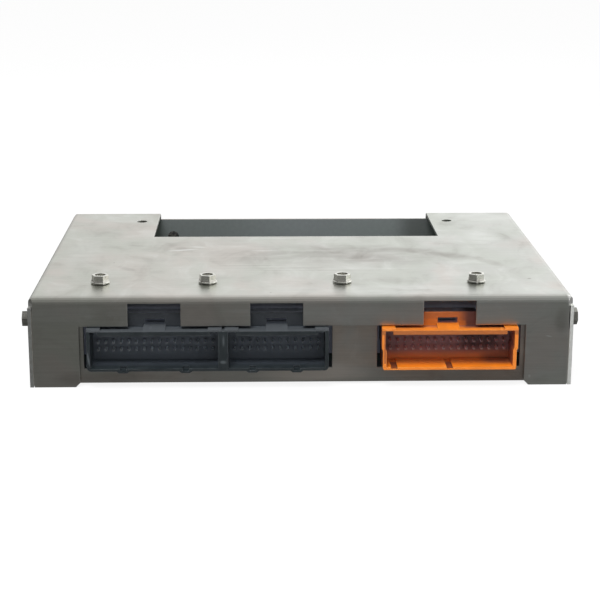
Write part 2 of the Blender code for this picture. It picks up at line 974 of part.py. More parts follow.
def make_screws(finish):
    long_screw = hex_screw("long_screw", cover_screw_length)
    short_screw = hex_screw("short_screw", side_screw_length)
    on_cover = [(x, bar_centre_y, cover_height + touch_gap) for x in cover_screw_xs]
    spins = [Matrix.Rotation(math.radians(turn), 4, "Z") for turn in cover_screw_turns]
    publish_copies("cover_screw", long_screw, on_cover, finish, spins)
    clamp_face = clamp_front + clamp_thickness + touch_gap
    on_clamp = [(x, clamp_face, clamp_screw_z) for x in clamp_screw_xs()]
    backwards = Matrix.Rotation(-math.pi / 2, 4, "X")
    publish_copies("clamp_screw", long_screw, on_clamp, finish, [backwards, backwards])
    for side, name in ((-1, "side_screw_left"), (1, "side_screw_right")):
        where = (side * (half_width + touch_gap), front + side_screw_setback, side_screw_z)
        sideways = Matrix.Rotation(side * math.pi / 2, 4, "Y")
        publish(place(name, short_screw, where, sideways), name, finish)


def make_board_fixings(screw_finish, stand_off_finish):
    """A stand-off under each corner of the board, and the slotted screw that holds the board to it."""
    head = rod(
        "board_screw",
        (0, 0, board_screw_head_height / 2),
        board_screw_head_diameter / 2,
        board_screw_head_height,
    )
    shank_middle = (0, 0, sheet / 2 - board_screw_length / 2)
    shank = rod("board_screw_shank", shank_middle, screw_shank_diameter / 2, board_screw_length + sheet)
    slot_floor = board_screw_head_height - board_screw_slot_depth
    slot = block(
        "board_screw_slot",
        (-board_screw_head_diameter, -board_screw_slot_width / 2, slot_floor),
        (board_screw_head_diameter, board_screw_slot_width / 2, 2 * board_screw_head_height),
    )
    join(head, shank)
    cut(head, slot)
    over_board = [(x, y, on_board) for x, y in stand_off_places()]
    publish_copies("board_screw", settled(head), over_board, screw_finish)
    low, high = floor_top + touch_gap, board_bottom - touch_gap
    stand_off = rod("stand_off", (0, 0, (low + high) / 2), stand_off_diameter / 2, high - low)
    bore = rod("stand_off_bore", (0, 0, (low + high) / 2), screw_hole_radius, 2 * (high - low))
    cut(stand_off, bore)
    under_board = [(x, y, 0) for x, y in stand_off_places()]
    publish_copies("board_stand_off", settled(stand_off), under_board, stand_off_finish)


def lead_row(count, pitch, near, far, top):
    """A row of leads along X, each from `near` to `far` in Y and from the board up to `top`."""
    return [
        block("lead", (x - lead_width / 2, near, on_board), (x + lead_width / 2, far, top))
        for x in row_of(count, pitch)
    ]


def make_processor(finish):
    """A square chip with leads tucked round its four sides."""
    half = processor_side / 2
    bottom = on_board + touch_gap
    chip = block("processor", (-half, -half, bottom), (half, half, on_board + processor_height))
    bevel_edges(chip, touch_gap, 1, lambda point: point.z > 0)
    middle = on_board + processor_height / 2
    leads = []
    near, far = half - lead_bite, half + lead_thickness
    for turn in range(4):
        spin = Matrix.Rotation(turn * math.pi / 2, 4, "Z")
        row = lead_row(processor_leads, processor_lead_pitch, near, far, middle)
        for lead in row:
            lead.matrix_world = spin @ lead.matrix_world
        leads += row
    join(chip, merged("processor_leads", leads))
    publish_one("processor", chip, processor_place, finish)


def make_chips(finish):
    """Chips in two-row packages, each standing on its leads."""
    bottom = on_board + chip_stand_off
    top = bottom + chip_height
    half = chip_width / 2
    chip = block("interface_chip", (-chip_length / 2, -half, bottom), (chip_length / 2, half, top))
    bevel_edges(chip, touch_gap, 1, lambda point: point.z > 0)
    middle = (bottom + top) / 2
    far_row = lead_row(chip_leads, chip_lead_pitch, half - lead_bite, half + lead_thickness, middle)
    near_row = lead_row(chip_leads, chip_lead_pitch, -half - lead_thickness, lead_bite - half, middle)
    join(chip, merged("chip_leads", far_row + near_row))
    publish_copies("interface_chip", settled(chip), [on_plan(spot) for spot in chip_places], finish)


def make_resistor_packs(finish):
    bottom = on_board + chip_stand_off
    half = pack_thickness / 2
    low = (-pack_length / 2, -half, bottom)
    pack = block("resistor_pack", low, (pack_length / 2, half, bottom + pack_height))
    near, far = -lead_thickness / 2, lead_thickness / 2
    leads = lead_row(pack_leads, pack_lead_pitch, near, far, bottom + chip_stand_off)
    join(pack, merged("pack_leads", leads))
    publish_copies("resistor_pack", settled(pack), [on_plan(spot) for spot in pack_places], finish)


def make_memory(socket_finish, module_finish):
    """An open socket, and the plug-in memory that is reached through the cover's notch."""
    half_x, half_y = socket_length / 2, socket_width_across / 2
    rim = on_board + socket_height
    socket = block("memory_socket", (-half_x, -half_y, on_board), (half_x, half_y, rim))
    well_floor = on_board + socket_floor
    well = block(
        "memory_well",
        (socket_wall - half_x, socket_wall - half_y, well_floor),
        (half_x - socket_wall, half_y - socket_wall, rim + sheet),
    )
    cut(socket, well)
    publish_one("memory_socket", socket, memory_place, socket_finish)
    inset = socket_wall + touch_gap
    bottom = well_floor + touch_gap
    module = block(
        "memory_module",
        (inset - half_x, inset - half_y, bottom),
        (half_x - inset, half_y - inset, bottom + module_height),
    )
    bevel_edges(module, touch_gap, 1, lambda point: point.z > 0)
    grip = block(
        "memory_grip",
        (inset - half_x + grip_width, -grip_width / 2, bottom + module_height - sheet),
        (half_x - inset - grip_width, grip_width / 2, bottom + module_height + grip_height),
    )
    join(module, grip)
    publish_one("memory_module", module, memory_place, module_finish)


def make_capacitors(finish):
    """Upright can capacitors, each with a rolled neck near its foot."""
    radius = capacitor_diameter / 2
    foot, top = on_board, on_board + capacitor_height
    neck = foot + capacitor_neck_height
    profile = (
        (0, top - capacitor_rim / 2),
        (radius - 2 * capacitor_rim, top - capacitor_rim / 2),
        (radius - capacitor_rim, top),
        (radius, top - capacitor_rim),
        (radius, neck + capacitor_rim),
        (radius - capacitor_neck_depth, neck),
        (radius, neck - capacitor_rim),
        (radius, foot + capacitor_rim),
        (radius - capacitor_rim, foot),
        (0, foot),
    )
    mesh = settled(turned("capacitor", profile, 12))
    publish_copies("capacitor", mesh, [on_plan(spot) for spot in capacitor_places], finish)


def rounded_bar(length, width, steps=6):
    """A straight bar's plan with half-round ends, about the origin."""
    radius = width / 2
    reach = length / 2 - radius
    points = []
    for start, centre_x in ((-math.pi / 2, reach), (math.pi / 2, -reach)):
        angles = [start + math.pi * step / steps for step in range(steps + 1)]
        points += [(centre_x + radius * math.cos(angle), radius * math.sin(angle)) for angle in angles]
    return points


def make_crystal(finish):
    can_outline = rounded_bar(crystal_length, crystal_width)
    can = slab("crystal", can_outline, "Z", on_board, on_board + crystal_height)
    rim_outline = rounded_bar(crystal_length + 2 * crystal_rim, crystal_width + 2 * crystal_rim)
    join(can, slab("crystal_rim", rim_outline, "Z", on_board, on_board + crystal_rim))
    publish_one("crystal", can, crystal_place, finish)


def make_coil(finish):
    """A ring coil that lies flat on the board."""
    centre_z = on_board + coil_thickness
    steps = 8
    ring = [
        (
            coil_radius + coil_thickness * math.sin(2 * math.pi * step / steps),
            centre_z + coil_thickness * math.cos(2 * math.pi * step / steps),
        )
        for step in range(steps + 1)
    ]
    publish_one("ring_coil", turned("ring_coil", ring, 20), coil_place, finish)


def main():
    clear_scene()
    aluminium = material("bare aluminium", (0.62, 0.62, 0.59), 0.42, 1.0)
    tray_metal = material("bare aluminium, shaded", (0.50, 0.50, 0.48), 0.48, 1.0)
    bar_metal = material("extruded aluminium", (0.45, 0.46, 0.46), 0.50, 1.0)
    black_plastic = material("black moulding", (0.018, 0.022, 0.026), 0.45, 0.0)
    orange_plastic = material("orange moulding", (0.60, 0.16, 0.02), 0.40, 0.0)
    pin_metal = material("tinned pins", (0.55, 0.52, 0.45), 0.30, 1.0)
    zinc = material("zinc-plated steel", (0.55, 0.55, 0.54), 0.32, 1.0)
    spring_steel = material("spring steel", (0.30, 0.30, 0.31), 0.35, 1.0)
    laminate = material("green laminate", (0.02, 0.10, 0.04), 0.40, 0.0)
    chip_black = material("chip moulding", (0.015, 0.015, 0.016), 0.55, 0.0)
    pack_blue = material("resistor pack coating", (0.02, 0.05, 0.15), 0.40, 0.0)
    can_sleeve = material("capacitor sleeve", (0.02, 0.03, 0.08), 0.35, 0.0)
    coil_wire = material("enamelled copper", (0.45, 0.16, 0.06), 0.35, 0.6)
    make_cover(aluminium)
    make_tray(tray_metal)
    make_header("header_black", black_sockets(), 0, black_corner, True, black_plastic)
    make_header("header_orange", orange_sockets(), orange_step, orange_corner, False, orange_plastic)
    strips = ("terminals_black_32", "terminals_black_24", "terminals_orange_32")
    for strip, socket in zip(strips, all_sockets()):
        make_terminals(strip, socket, pin_metal)
    make_board(laminate)
    make_bar(bar_metal)
    make_drivers(chip_black)
    make_clamp(spring_steel)
    make_screws(zinc)
    make_board_fixings(zinc, bar_metal)
    make_processor(chip_black)
    make_chips(chip_black)
    make_resistor_packs(pack_blue)
    make_memory(chip_black, chip_black)
    make_capacitors(can_sleeve)
    make_crystal(zinc)
    make_coil(coil_wire)


main()
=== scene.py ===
import math

import bmesh
import bpy
from mathutils import Matrix, Vector


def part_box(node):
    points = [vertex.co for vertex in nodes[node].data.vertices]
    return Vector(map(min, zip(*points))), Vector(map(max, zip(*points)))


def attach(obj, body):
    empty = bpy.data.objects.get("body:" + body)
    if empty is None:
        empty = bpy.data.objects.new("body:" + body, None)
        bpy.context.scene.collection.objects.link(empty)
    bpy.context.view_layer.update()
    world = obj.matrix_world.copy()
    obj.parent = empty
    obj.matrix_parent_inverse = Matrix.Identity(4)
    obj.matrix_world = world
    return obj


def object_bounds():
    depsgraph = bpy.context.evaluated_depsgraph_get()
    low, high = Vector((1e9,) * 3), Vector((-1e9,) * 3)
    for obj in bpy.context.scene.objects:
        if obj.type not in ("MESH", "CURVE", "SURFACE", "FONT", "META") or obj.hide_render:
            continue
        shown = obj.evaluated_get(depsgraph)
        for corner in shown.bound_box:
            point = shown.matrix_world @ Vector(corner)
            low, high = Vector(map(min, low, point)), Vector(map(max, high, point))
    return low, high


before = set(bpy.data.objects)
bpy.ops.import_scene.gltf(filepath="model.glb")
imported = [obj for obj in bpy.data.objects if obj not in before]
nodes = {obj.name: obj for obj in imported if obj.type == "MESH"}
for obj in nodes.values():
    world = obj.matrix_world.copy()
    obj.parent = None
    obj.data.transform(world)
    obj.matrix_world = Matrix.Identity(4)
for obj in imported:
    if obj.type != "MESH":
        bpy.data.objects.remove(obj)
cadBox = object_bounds()
bpy.context.scene.view_settings.view_transform = "Standard"
print("frame loaded:", len(nodes), "pieces")

perMetre = 1000  # spans and marks on the sheets and mouldings are given in mm
anyDepth = 9000  # a mark's reach, in mm, along the axis that it ignores


class Wire:
    # one output in a material, so that its maths reads as plain sums
    def __init__(self, finish, socket):
        self.finish = finish
        self.socket = socket

    def maths(self, operation, *values):
        return self.finish.node("ShaderNodeMath", {"operation": operation}, dict(enumerate(values)))

    def __add__(self, other):
        return self.maths("ADD", self, other)

    def __radd__(self, other):
        return self.maths("ADD", other, self)

    def __sub__(self, other):
        return self.maths("SUBTRACT", self, other)

    def __rsub__(self, other):
        return self.maths("SUBTRACT", other, self)

    def __mul__(self, other):
        return self.maths("MULTIPLY", self, other)

    def __rmul__(self, other):
        return self.maths("MULTIPLY", other, self)

    def __truediv__(self, other):
        return self.maths("DIVIDE", self, other)

    def __rtruediv__(self, other):
        return self.maths("DIVIDE", other, self)

    def __pow__(self, other):
        return self.maths("POWER", self, other)

    def __abs__(self):
        return self.maths("ABSOLUTE", self)

    def larger(self, *others):
        result = self
        for other in others:
            result = self.maths("MAXIMUM", result, other)
        return result

    def fraction(self):
        return self.maths("FRACT", self)


class Finish:
    # one material, or the world, and the nodes in it
    def __init__(self, name, tree=None):
        self.material = None
        if tree is None:
            self.material = bpy.data.materials.new(name)
            self.material.use_nodes = True
            tree = self.material.node_tree
        self.tree = tree
        self.tree.nodes.clear()
        self.coords = None
        self.xyz = None

    def node(self, kind, settings=None, sockets=None, out=0):
        made = self.tree.nodes.new(kind)
        for key, value in (settings or {}).items():
            if key == "stops":  # a ramp's stops as (place, colour)
                ramp = made.color_ramp
                while len(ramp.elements) < len(value):
                    ramp.elements.new(0.5)
                for element, (spot, colour) in zip(ramp.elements, value):
                    element.position = spot
                    element.color = (*colour, 1)
            else:
                setattr(made, key, value)
        for key, value in (sockets or {}).items():
            if isinstance(value, Wire):
                self.tree.links.new(value.socket, made.inputs[key])
            else:
                made.inputs[key].default_value = value
        return Wire(self, made.outputs[out]) if made.outputs else made

    def place(self):  # object coordinates, in metres
        if self.coords is None:
            self.coords = self.node("ShaderNodeTexCoord", out="Object")
        return self.coords

    def split(self, where):
        return [self.node("ShaderNodeSeparateXYZ", {}, {0: where}, out) for out in range(3)]

    def axes(self):
        if self.xyz is None:
            self.xyz = self.split(self.place())
        return self.xyz

    def facing(self):  # the surface's own normal as three numbers
        return self.split(self.node("ShaderNodeNewGeometry", out="True Normal"))

    def scaled(self, factors):  # object coordinates stretched along each axis
        return self.node("ShaderNodeVectorMath", {"operation": "MULTIPLY"}, {0: self.place(), 1: factors})

    def cloud(self, size, detail=3.0, where=None, rough=0.5, warp=0.0):  # soft noise, size in metres
        return self.node("ShaderNodeTexNoise", {}, {
            "Vector": where or self.place(), "Scale": 1 / size, "Detail": detail, "Roughness": rough,
            "Distortion": warp})

    def cells(self, size, out="Distance", where=None):  # scattered cells, size in metres
        return self.node("ShaderNodeTexVoronoi", {}, {
            "Vector": where or self.place(), "Scale": 1 / size}, out)

    def chance(self, number):  # an even random number for each whole number
        return self.node("ShaderNodeTexWhiteNoise", {"noise_dimensions": "1D"}, {
            "W": number.maths("FLOOR", number)}, "Value")

    def between(self, value, low, high, toLow=0.0, toHigh=1.0):  # a smooth step from low to high
        return self.node("ShaderNodeMapRange", {"interpolation_type": "SMOOTHSTEP"}, {
            0: value, 1: low, 2: high, 3: toLow, 4: toHigh})

    def within(self, value, low, high, soft):  # 1 between low and high, with soft ends
        past = self.between(value, low - soft, low + soft)
        return past * self.between(value, high - soft, high + soft, 1.0, 0.0)

    def inBox(self, spans, soft):  # 1 in a box: spans along x, y and z in mm, None for any
        inside = 1
        for value, span in zip(self.axes(), spans):
            if span:
                low, high = (end / perMetre for end in span)
                inside = self.within(value, low, high, soft / perMetre) * inside
        return inside

    # a soft oval mark: place and half sizes in mm, turn in degrees
    def mark(self, spot, reach, turn, share):
        local = self.node("ShaderNodeMapping", {"vector_type": "TEXTURE"}, {
            "Vector": self.place(), "Location": tuple(v / perMetre for v in spot),
            "Rotation": tuple(math.radians(v) for v in turn), "Scale": tuple(v / perMetre for v in reach)})
        far = self.node("ShaderNodeVectorMath", {"operation": "LENGTH"}, {0: local}, "Value")
        return self.between(far, 0.25, 1.0, share, 0.0)

    def scratches(self, width, turn):  # short fine lines across the sheet, turn in degrees
        along = self.node("ShaderNodeMapping", {"vector_type": "TEXTURE"}, {
            "Vector": self.place(), "Rotation": (math.radians(turn) * 0.3, 0, math.radians(turn)),
            "Scale": (22.0, 1.0, 1.0)})
        lines = self.between(self.cloud(width, 1.0, along), 0.735, 0.78)
        return lines * self.between(self.cloud(0.02), 0.46, 0.6)

    def topMarks(self, marks):  # x, y, half length, half width, turn, share
        return sum(self.mark((x, y, 0), (length, width, anyDepth), (0, 0, turn), share)
                   for x, y, length, width, turn, share in marks)

    def frontMarks(self, marks):  # x, z, half length, half height, turn, share
        return sum(self.mark((x, 0, z), (length, anyDepth, height), (0, turn, 0), share)
                   for x, z, length, height, turn, share in marks)

    def blend(self, share, first, second, how="MIX"):
        first, second = [v if isinstance(v, Wire) else (*v, 1) for v in (first, second)]
        return self.node("ShaderNodeMix", {"data_type": "RGBA", "blend_type": how, "clamp_factor": True}, {
            0: share, 6: first, 7: second}, 2)

    def tinted(self, colour, tints):  # spans, softness in mm, colour, share
        for spans, soft, tint, share in tints:
            colour = self.blend(self.inBox(spans, soft) * share, colour, shade(tint))
        return colour

    def stray(self, look):  # weak light in narrow gaps: spans, softness in mm, colour
        colour = (0, 0, 0)
        for spans, soft, tint in look.get("stray", ()):
            colour = self.blend(self.inBox(spans, soft), colour, shade(tint))
        return colour if isinstance(colour, Wire) else (*colour, 1)

    def bump(self, height, depth, strength=1.0, normal=None):
        sockets = {"Height": height, "Distance": depth, "Strength": strength}
        if normal:
            sockets["Normal"] = normal
        return self.node("ShaderNodeBump", {}, sockets)

    def rounded(self, radius):  # normals that bend round the edges
        return self.node("ShaderNodeBevel", {"samples": 4}, {"Radius": radius})

    def edges(self, radius):  # 1 along an edge, 0 on the flats
        flat = self.node("ShaderNodeNewGeometry", out="True Normal")
        agree = self.node("ShaderNodeVectorMath", {"operation": "DOT_PRODUCT"}, {
            0: flat, 1: self.rounded(radius)}, "Value")
        return self.between(1 - agree, 0.01, 0.12)

    def surface(self, sockets):
        return self.shown(self.node("ShaderNodeBsdfPrincipled", {}, sockets))

    def shown(self, shader):
        self.node("ShaderNodeOutputMaterial", {}, {"Surface": shader})
        return self.material


def shade(code):  # an on-screen colour, 0 to 255, as the shader's own numbers
    return tuple(((v / 255 + 0.055) / 1.055) ** 2.4 if v > 10 else v / 255 / 12.92 for v in code)


def dress(material, *names):
    for name in names:
        for slotIndex in range(len(nodes[name].data.materials)):
            nodes[name].data.materials[slotIndex] = material


def addPiece(name, work, material):  # a new piece from a bmesh, fixed to the unit
    bmesh.ops.recalc_face_normals(work, faces=work.faces)
    mesh = bpy.data.meshes.new(name)
    work.to_mesh(mesh)
    work.free()
    mesh.shade_smooth()
    mesh.materials.append(material)
    piece = bpy.data.objects.new(name, mesh)
    bpy.context.scene.collection.objects.link(piece)
    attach(piece, "root")
    return piece


# a profile of (radius, height) turned round an axis
def turned(work, profile, toPoint, sides, closed=False):
    rings = [[work.verts.new(toPoint(radius, 2 * math.pi * k / sides, height)) for k in range(sides)]
             for radius, height in profile]
    for first, second in zip(rings, rings[1:] + (rings[:1] if closed else [])):
        for k in range(sides):
            work.faces.new((first[k], first[(k + 1) % sides], second[(k + 1) % sides], second[k]))
    if not closed:
        work.faces.new(rings[0])
        work.faces.new(rings[-1][::-1])


# the camera stands where the photograph was taken from
cameraView = {
    "position": (-0.01403, -0.57228, 0.16148),
    "turn": -1.525, "dip": 14.67, "lean": 0.124,  # degrees
    "lens": 95.2, "sensor": 36.0,
}


def makeCamera(view):
    turn, dip, lean = (math.radians(view[key]) for key in ("turn", "dip", "lean"))
    ahead = Vector((-math.sin(turn) * math.cos(dip), math.cos(turn) * math.cos(dip), -math.sin(dip)))
    side = Vector((math.cos(turn), math.sin(turn), 0))
    over = side.cross(ahead)
    leanSide = math.cos(lean) * side + math.sin(lean) * over
    leanOver = math.cos(lean) * over - math.sin(lean) * side
    place = Matrix((leanSide, leanOver, -ahead)).transposed().to_4x4()
    place.translation = Vector(view["position"])
    data = bpy.data.cameras.new("photoView")
    data.lens = view["lens"]
    data.sensor_width = view["sensor"]
    data.clip_start = 0.01
    camera = bpy.data.objects.new("photoView", data)
    camera.matrix_world = place
    bpy.context.scene.collection.objects.link(camera)
    bpy.context.scene.camera = camera


makeCamera(cameraView)
print("camera placed")

# the metal sees a room, the matt surfaces see soft light, and the camera sees white
studio = {
    # how bright the metal sees each side, from straight in front (0) over the top to behind (1)
    "reflected": ((0.0, 0.16), (0.24, 0.32), (0.62, 0.50), (0.86, 0.80), (0.97, 1.04)),
    "toBack": (0.0, 0.97, 0.25), "rightShare": 0.8,
    # a bright window that the metal sees low on the right, and its soft edges
    "rightWindow": 0.75, "windowSide": (0.45, 0.75), "windowFoot": (0.02, 0.14), "windowHead": (0.75, 0.95),
    # what lights the matt surfaces, how softly front turns to back, and where the top's part begins
    "skyFront": 0.36, "skyBack": 0.75, "skyTop": 0.35, "skyTurn": 0.6, "skyTopFrom": 0.2,
    "key": {"place": (-0.15, -0.42, 0.80), "size": 0.45, "power": 7.0},
    "back": {"place": (0.35, 0.45, 0.75), "size": 0.5, "power": 2.0},
    "floorLeft": 0.142, "floorRight": 0.180, "floorTurn": 0.12,  # what the metal sees of the floor
    "floorPale": 0.62, "floorSize": 6.0, "floorGlow": 0.88,
}


def rays(paint, *names):  # 1 for rays of these kinds
    paths = [paint.node("ShaderNodeLightPath", out=name) for name in names]
    return paths[0].larger(*paths[1:])


def grey(paint, level):
    return paint.node("ShaderNodeCombineColor", {}, {0: level, 1: level, 2: level})


def makeWorld(look):
    world = bpy.data.worlds.new("studioWorld")
    bpy.context.scene.world = world
    world.use_nodes = True
    sky = Finish("studioWorld", world.node_tree)
    toward = sky.node("ShaderNodeTexCoord", out="Generated")
    x, y, z = sky.split(toward)
    along = sky.node("ShaderNodeVectorMath", {"operation": "DOT_PRODUCT"}, {
        0: toward, 1: look["toBack"]}, "Value")
    ramp = sky.node("ShaderNodeValToRGB", {
        "stops": [(spot, (level,) * 3) for spot, level in look["reflected"]]}, {0: along * 0.5 + 0.5})
    window = sky.between(x, *look["windowSide"]) * sky.between(z, *look["windowFoot"])
    window = window * sky.between(z, *look["windowHead"], 1.0, 0.0)
    mirrored = sky.blend(1.0, ramp, grey(sky, x * look["rightShare"] + 1), "MULTIPLY")
    mirrored = sky.blend(1.0, mirrored, grey(sky, window * look["rightWindow"]), "ADD")
    level = sky.between(y, -look["skyTurn"], look["skyTurn"], look["skyFront"], look["skyBack"])
    level = level + sky.between(z, look["skyTopFrom"], 1.0) * look["skyTop"]
    colour = sky.blend(rays(sky, "Is Glossy Ray"), grey(sky, level), mirrored)
    colour = sky.blend(rays(sky, "Is Camera Ray", "Is Transmission Ray"), colour, (1.0, 1.0, 1.0))
    glow = sky.node("ShaderNodeBackground", {}, {"Color": colour, "Strength": 1.0})
    sky.node("ShaderNodeOutputWorld", {}, {"Surface": glow})


def makeLamp(name, look):
    data = bpy.data.lights.new(name, "AREA")
    data.shape = "SQUARE"
    data.size = look["size"]
    data.energy = look["power"]
    lamp = bpy.data.objects.new(name, data)
    lamp.visible_glossy = False  # the metal mirrors the room, not the lamp
    spot = Vector(look["place"])
    lamp.location = spot
    lamp.rotation_mode = "QUATERNION"
    lamp.rotation_quaternion = (-spot).to_track_quat("-Z", "Y")
    bpy.context.scene.collection.objects.link(lamp)


def makeFloor(look):
    half = look["floorSize"] / 2
    mesh = bpy.data.meshes.new("studioFloor")
    corners = [(-half, -half, 0), (half, -half, 0), (half, half, 0), (-half, half, 0)]
    mesh.from_pydata(corners, [], [(0, 1, 2, 3)])
    floor = bpy.data.objects.new("studioFloor", mesh)
    bpy.context.scene.collection.objects.link(floor)
    paint = Finish("floorPaint")
    onRight = paint.between(paint.axes()[0], -look["floorTurn"], look["floorTurn"])
    white = (1, 1, 1, 1)
    matt = paint.node("ShaderNodeBsdfDiffuse", {}, {"Color": (*(look["floorPale"],) * 3, 1)})
    lit = paint.node("ShaderNodeBsdfDiffuse", {}, {"Color": white})
    glow = paint.node("ShaderNodeEmission", {}, {"Color": white, "Strength": 1.0})
    darkSide = paint.node("ShaderNodeEmission", {}, {"Color": white, "Strength": look["floorLeft"]})
    lightSide = paint.node("ShaderNodeEmission", {}, {"Color": white, "Strength": look["floorRight"]})
    sheen = paint.node("ShaderNodeMixShader", {}, {0: onRight, 1: darkSide, 2: lightSide})
    shown = paint.node("ShaderNodeMixShader", {}, {0: look["floorGlow"], 1: lit, 2: glow})
    plain = paint.node("ShaderNodeMixShader", {}, {0: rays(paint, "Is Glossy Ray"), 1: matt, 2: sheen})
    seen = rays(paint, "Is Camera Ray", "Is Transmission Ray")
    mesh.materials.append(paint.shown(paint.node("ShaderNodeMixShader", {}, {0: seen, 1: plain, 2: shown})))


makeWorld(studio)
makeLamp("keyLamp", studio["key"])
makeLamp("backLamp", studio["back"])
makeFloor(studio)
print("studio lit")

# folded aluminium: the cover and the tray under it
coverLook = {
    "left": shade((197, 196, 187)), "right": shade((200, 202, 196)), "roughness": 0.30,
    "stain": shade((146, 142, 134)), "pale": shade((226, 228, 224)),
    "warm": shade((206, 196, 188)), "green": shade((190, 196, 184)),
    "inner": shade((150, 152, 150)),
    "inside": ((-88.9, 88.9), (-67.5, 70.3), (-9, 29.3)),  # spans in mm of the faces turned inwards
    # marks on the top: x, y, half length, half width in mm, turn in degrees, how strong
    "darkMarks": (
        (14, -6, 64, 22, -3, 0.44), (26, -12, 13, 9, 0, 0.20), (48, -3, 36, 6, -33, 0.28),
        (69, -19, 13, 3.5, -61, 0.30), (-44, 7, 14, 3.5, -59, 0.34), (-60, -28, 9, 2.5, -50, 0.28),
        (-4, -27, 30, 0.7, 0, 0.52), (2, -30.5, 26, 0.6, -1, 0.46), (-14, -23, 20, 0.8, 1, 0.36),
        (-58, 9, 9, 2.0, -20, 0.26), (-28, 14, 20, 8, 5, 0.16), (-50, -14, 10, 6, 0, 0.14),
        (-30, -42, 12, 3, 10, 0.16), (30, -46, 16, 3, -4, 0.14), (79, -44, 1.0, 0.9, 0, 0.8),
    ),
    # pale marks on the top; the last two, at the back corners, are painted sheen
    "paleMarksAndSheen": (
        (-42, 2, 8, 1.6, 14, 0.75), (-37, 7, 5, 1.2, -10, 0.6), (72, 22, 9, 18, 0, 0.45),
        (-78, 0, 9, 40, 0, 0.22), (30, -58, 56, 9, 0, 0.35), (-45, -60, 34, 7, 0, 0.18),
        (-5, 22, 14, 2.0, 0, 0.3), (24, -28, 24, 2.4, -3, 0.24), (-12, 1, 10, 1.2, 3, 0.3),
        (-74, 60, 18, 16, 0, 0.2), (74, 60, 20, 16, 0, 0.3),
    ),
    # marks on the front: x, z, half length, half height in mm, turn in degrees, how strong
    "frontDark": ((-76, 3, 8, 3, 0, 0.35), (-62, 24, 10, 3, 0, 0.2), (86, 22, 3, 6, 0, 0.4)),
    "frontPale": (
        (8, 25, 34, 5, 0, 0.35), (56, 25, 34, 6, 0, 0.25), (-20, 26, 8, 1, 0, 0.25),
        (-78, 25, 20, 5, 0, 0.2), (82, 16.8, 1.5, 0.35, 12, 0.9), (76, 3, 0.6, 0.8, 0, 0.7),
    ),
    "tints": (  # spans along x, y and z, softness in mm, colour, share
        ((None, (-70, -65.0), (29.8, 32)), 0.8, (140, 138, 132), 0.42),  # painted shade at the start of the front bend, where it turns away from the bright room
        # the orange moulding, mirrored in the leg's edge and in the flange's
        (((73.2, 74.0), (-70, -68.4), (8, 20)), 0.3, (214, 130, 76), 0.5),
        (((28.5, 39), (-70, -68.4), (20.5, 21.1)), 0.4, (206, 140, 96), 0.4),
        (((58, 69), (-70, -68.4), (20.5, 21.1)), 0.4, (206, 140, 96), 0.4),
        (((88.0, 92), (-70, -66), (27.4, 31)), 0.4, (255, 255, 252), 0.8),  # torn metal at the right corner, with a painted white glint
        (((-92, -88.4), (-70, -66), (26.5, 28.6)), 0.3, (250, 250, 246), 0.7),  # and a painted glint at the left one
    ),
    "stray": (  # light that the narrow seams beside the legs pick up: spans, softness, colour
        (((-88.83, -88.38), (-68.55, -60), (0, 26)), 0.02, (72, 70, 66)),
        (((88.38, 88.83), (-68.55, -60), (0, 19)), 0.02, (84, 84, 80)),
    ),
    # the side flanges' cut front edges, bare metal painted pale as a highlight: from this x out and to this
    # y, and how dull on the left and right
    "cutEdgeHighlight": (88.85, -68.3, 0.02, 0.75),
}
trayLook = {
    "left": shade((190, 187, 180)), "right": shade((186, 184, 178)), "roughness": 0.36,
    "stain": shade((142, 127, 116)), "pale": shade((226, 218, 208)),
    "warm": shade((204, 184, 166)), "green": shade((190, 194, 184)),
    "inner": shade((156, 162, 163)),
    "inside": ((-87.4, 87.4), (-66.0, 68.8), (1.6, 99)),
    "innerTints": (  # the rear wall's inside, darker towards both ends; towards the right this is a painted shadow under the cover's right ear
        (((45, 90), (60, 71), None), 5.0, (90, 92, 90), 0.75),
        (((-90, -16), (60, 71), None), 20, (92, 96, 96), 0.65),
    ),
    "frontDark": ((64, 2, 56, 9, 0, 0.5), (-60, 3, 26, 2.5, 0, 0.3)),
    "frontPale": ((14, 12, 9, 10, 0, 0.2), (4, 4, 24, 6, 0, 0.9)),
}


# wear that both sheets share, sizes in metres
wearLook = {
    "slow": 0.045, "mottle": 0.011, "hue": 0.024, "grain": 0.0006, "fine": 0.0016, "ragged": 0.006,
    "scratches": ((0.00035, 24), (0.0004, -52)),  # width, turn in degrees
    "specks": 0.011, "speck": (0.12, 0.11, 0.10), "rub": 0.0004, "rubbed": (0.9, 0.9, 0.88),
    "sideTurn": 0.085,  # the left colour turns to the right one between minus and plus this x
    "bend": 0.00035, "relief": 0.00004,
    "dulled": 0.65,  # how much less metallic the inner faces and the cut edges are
}


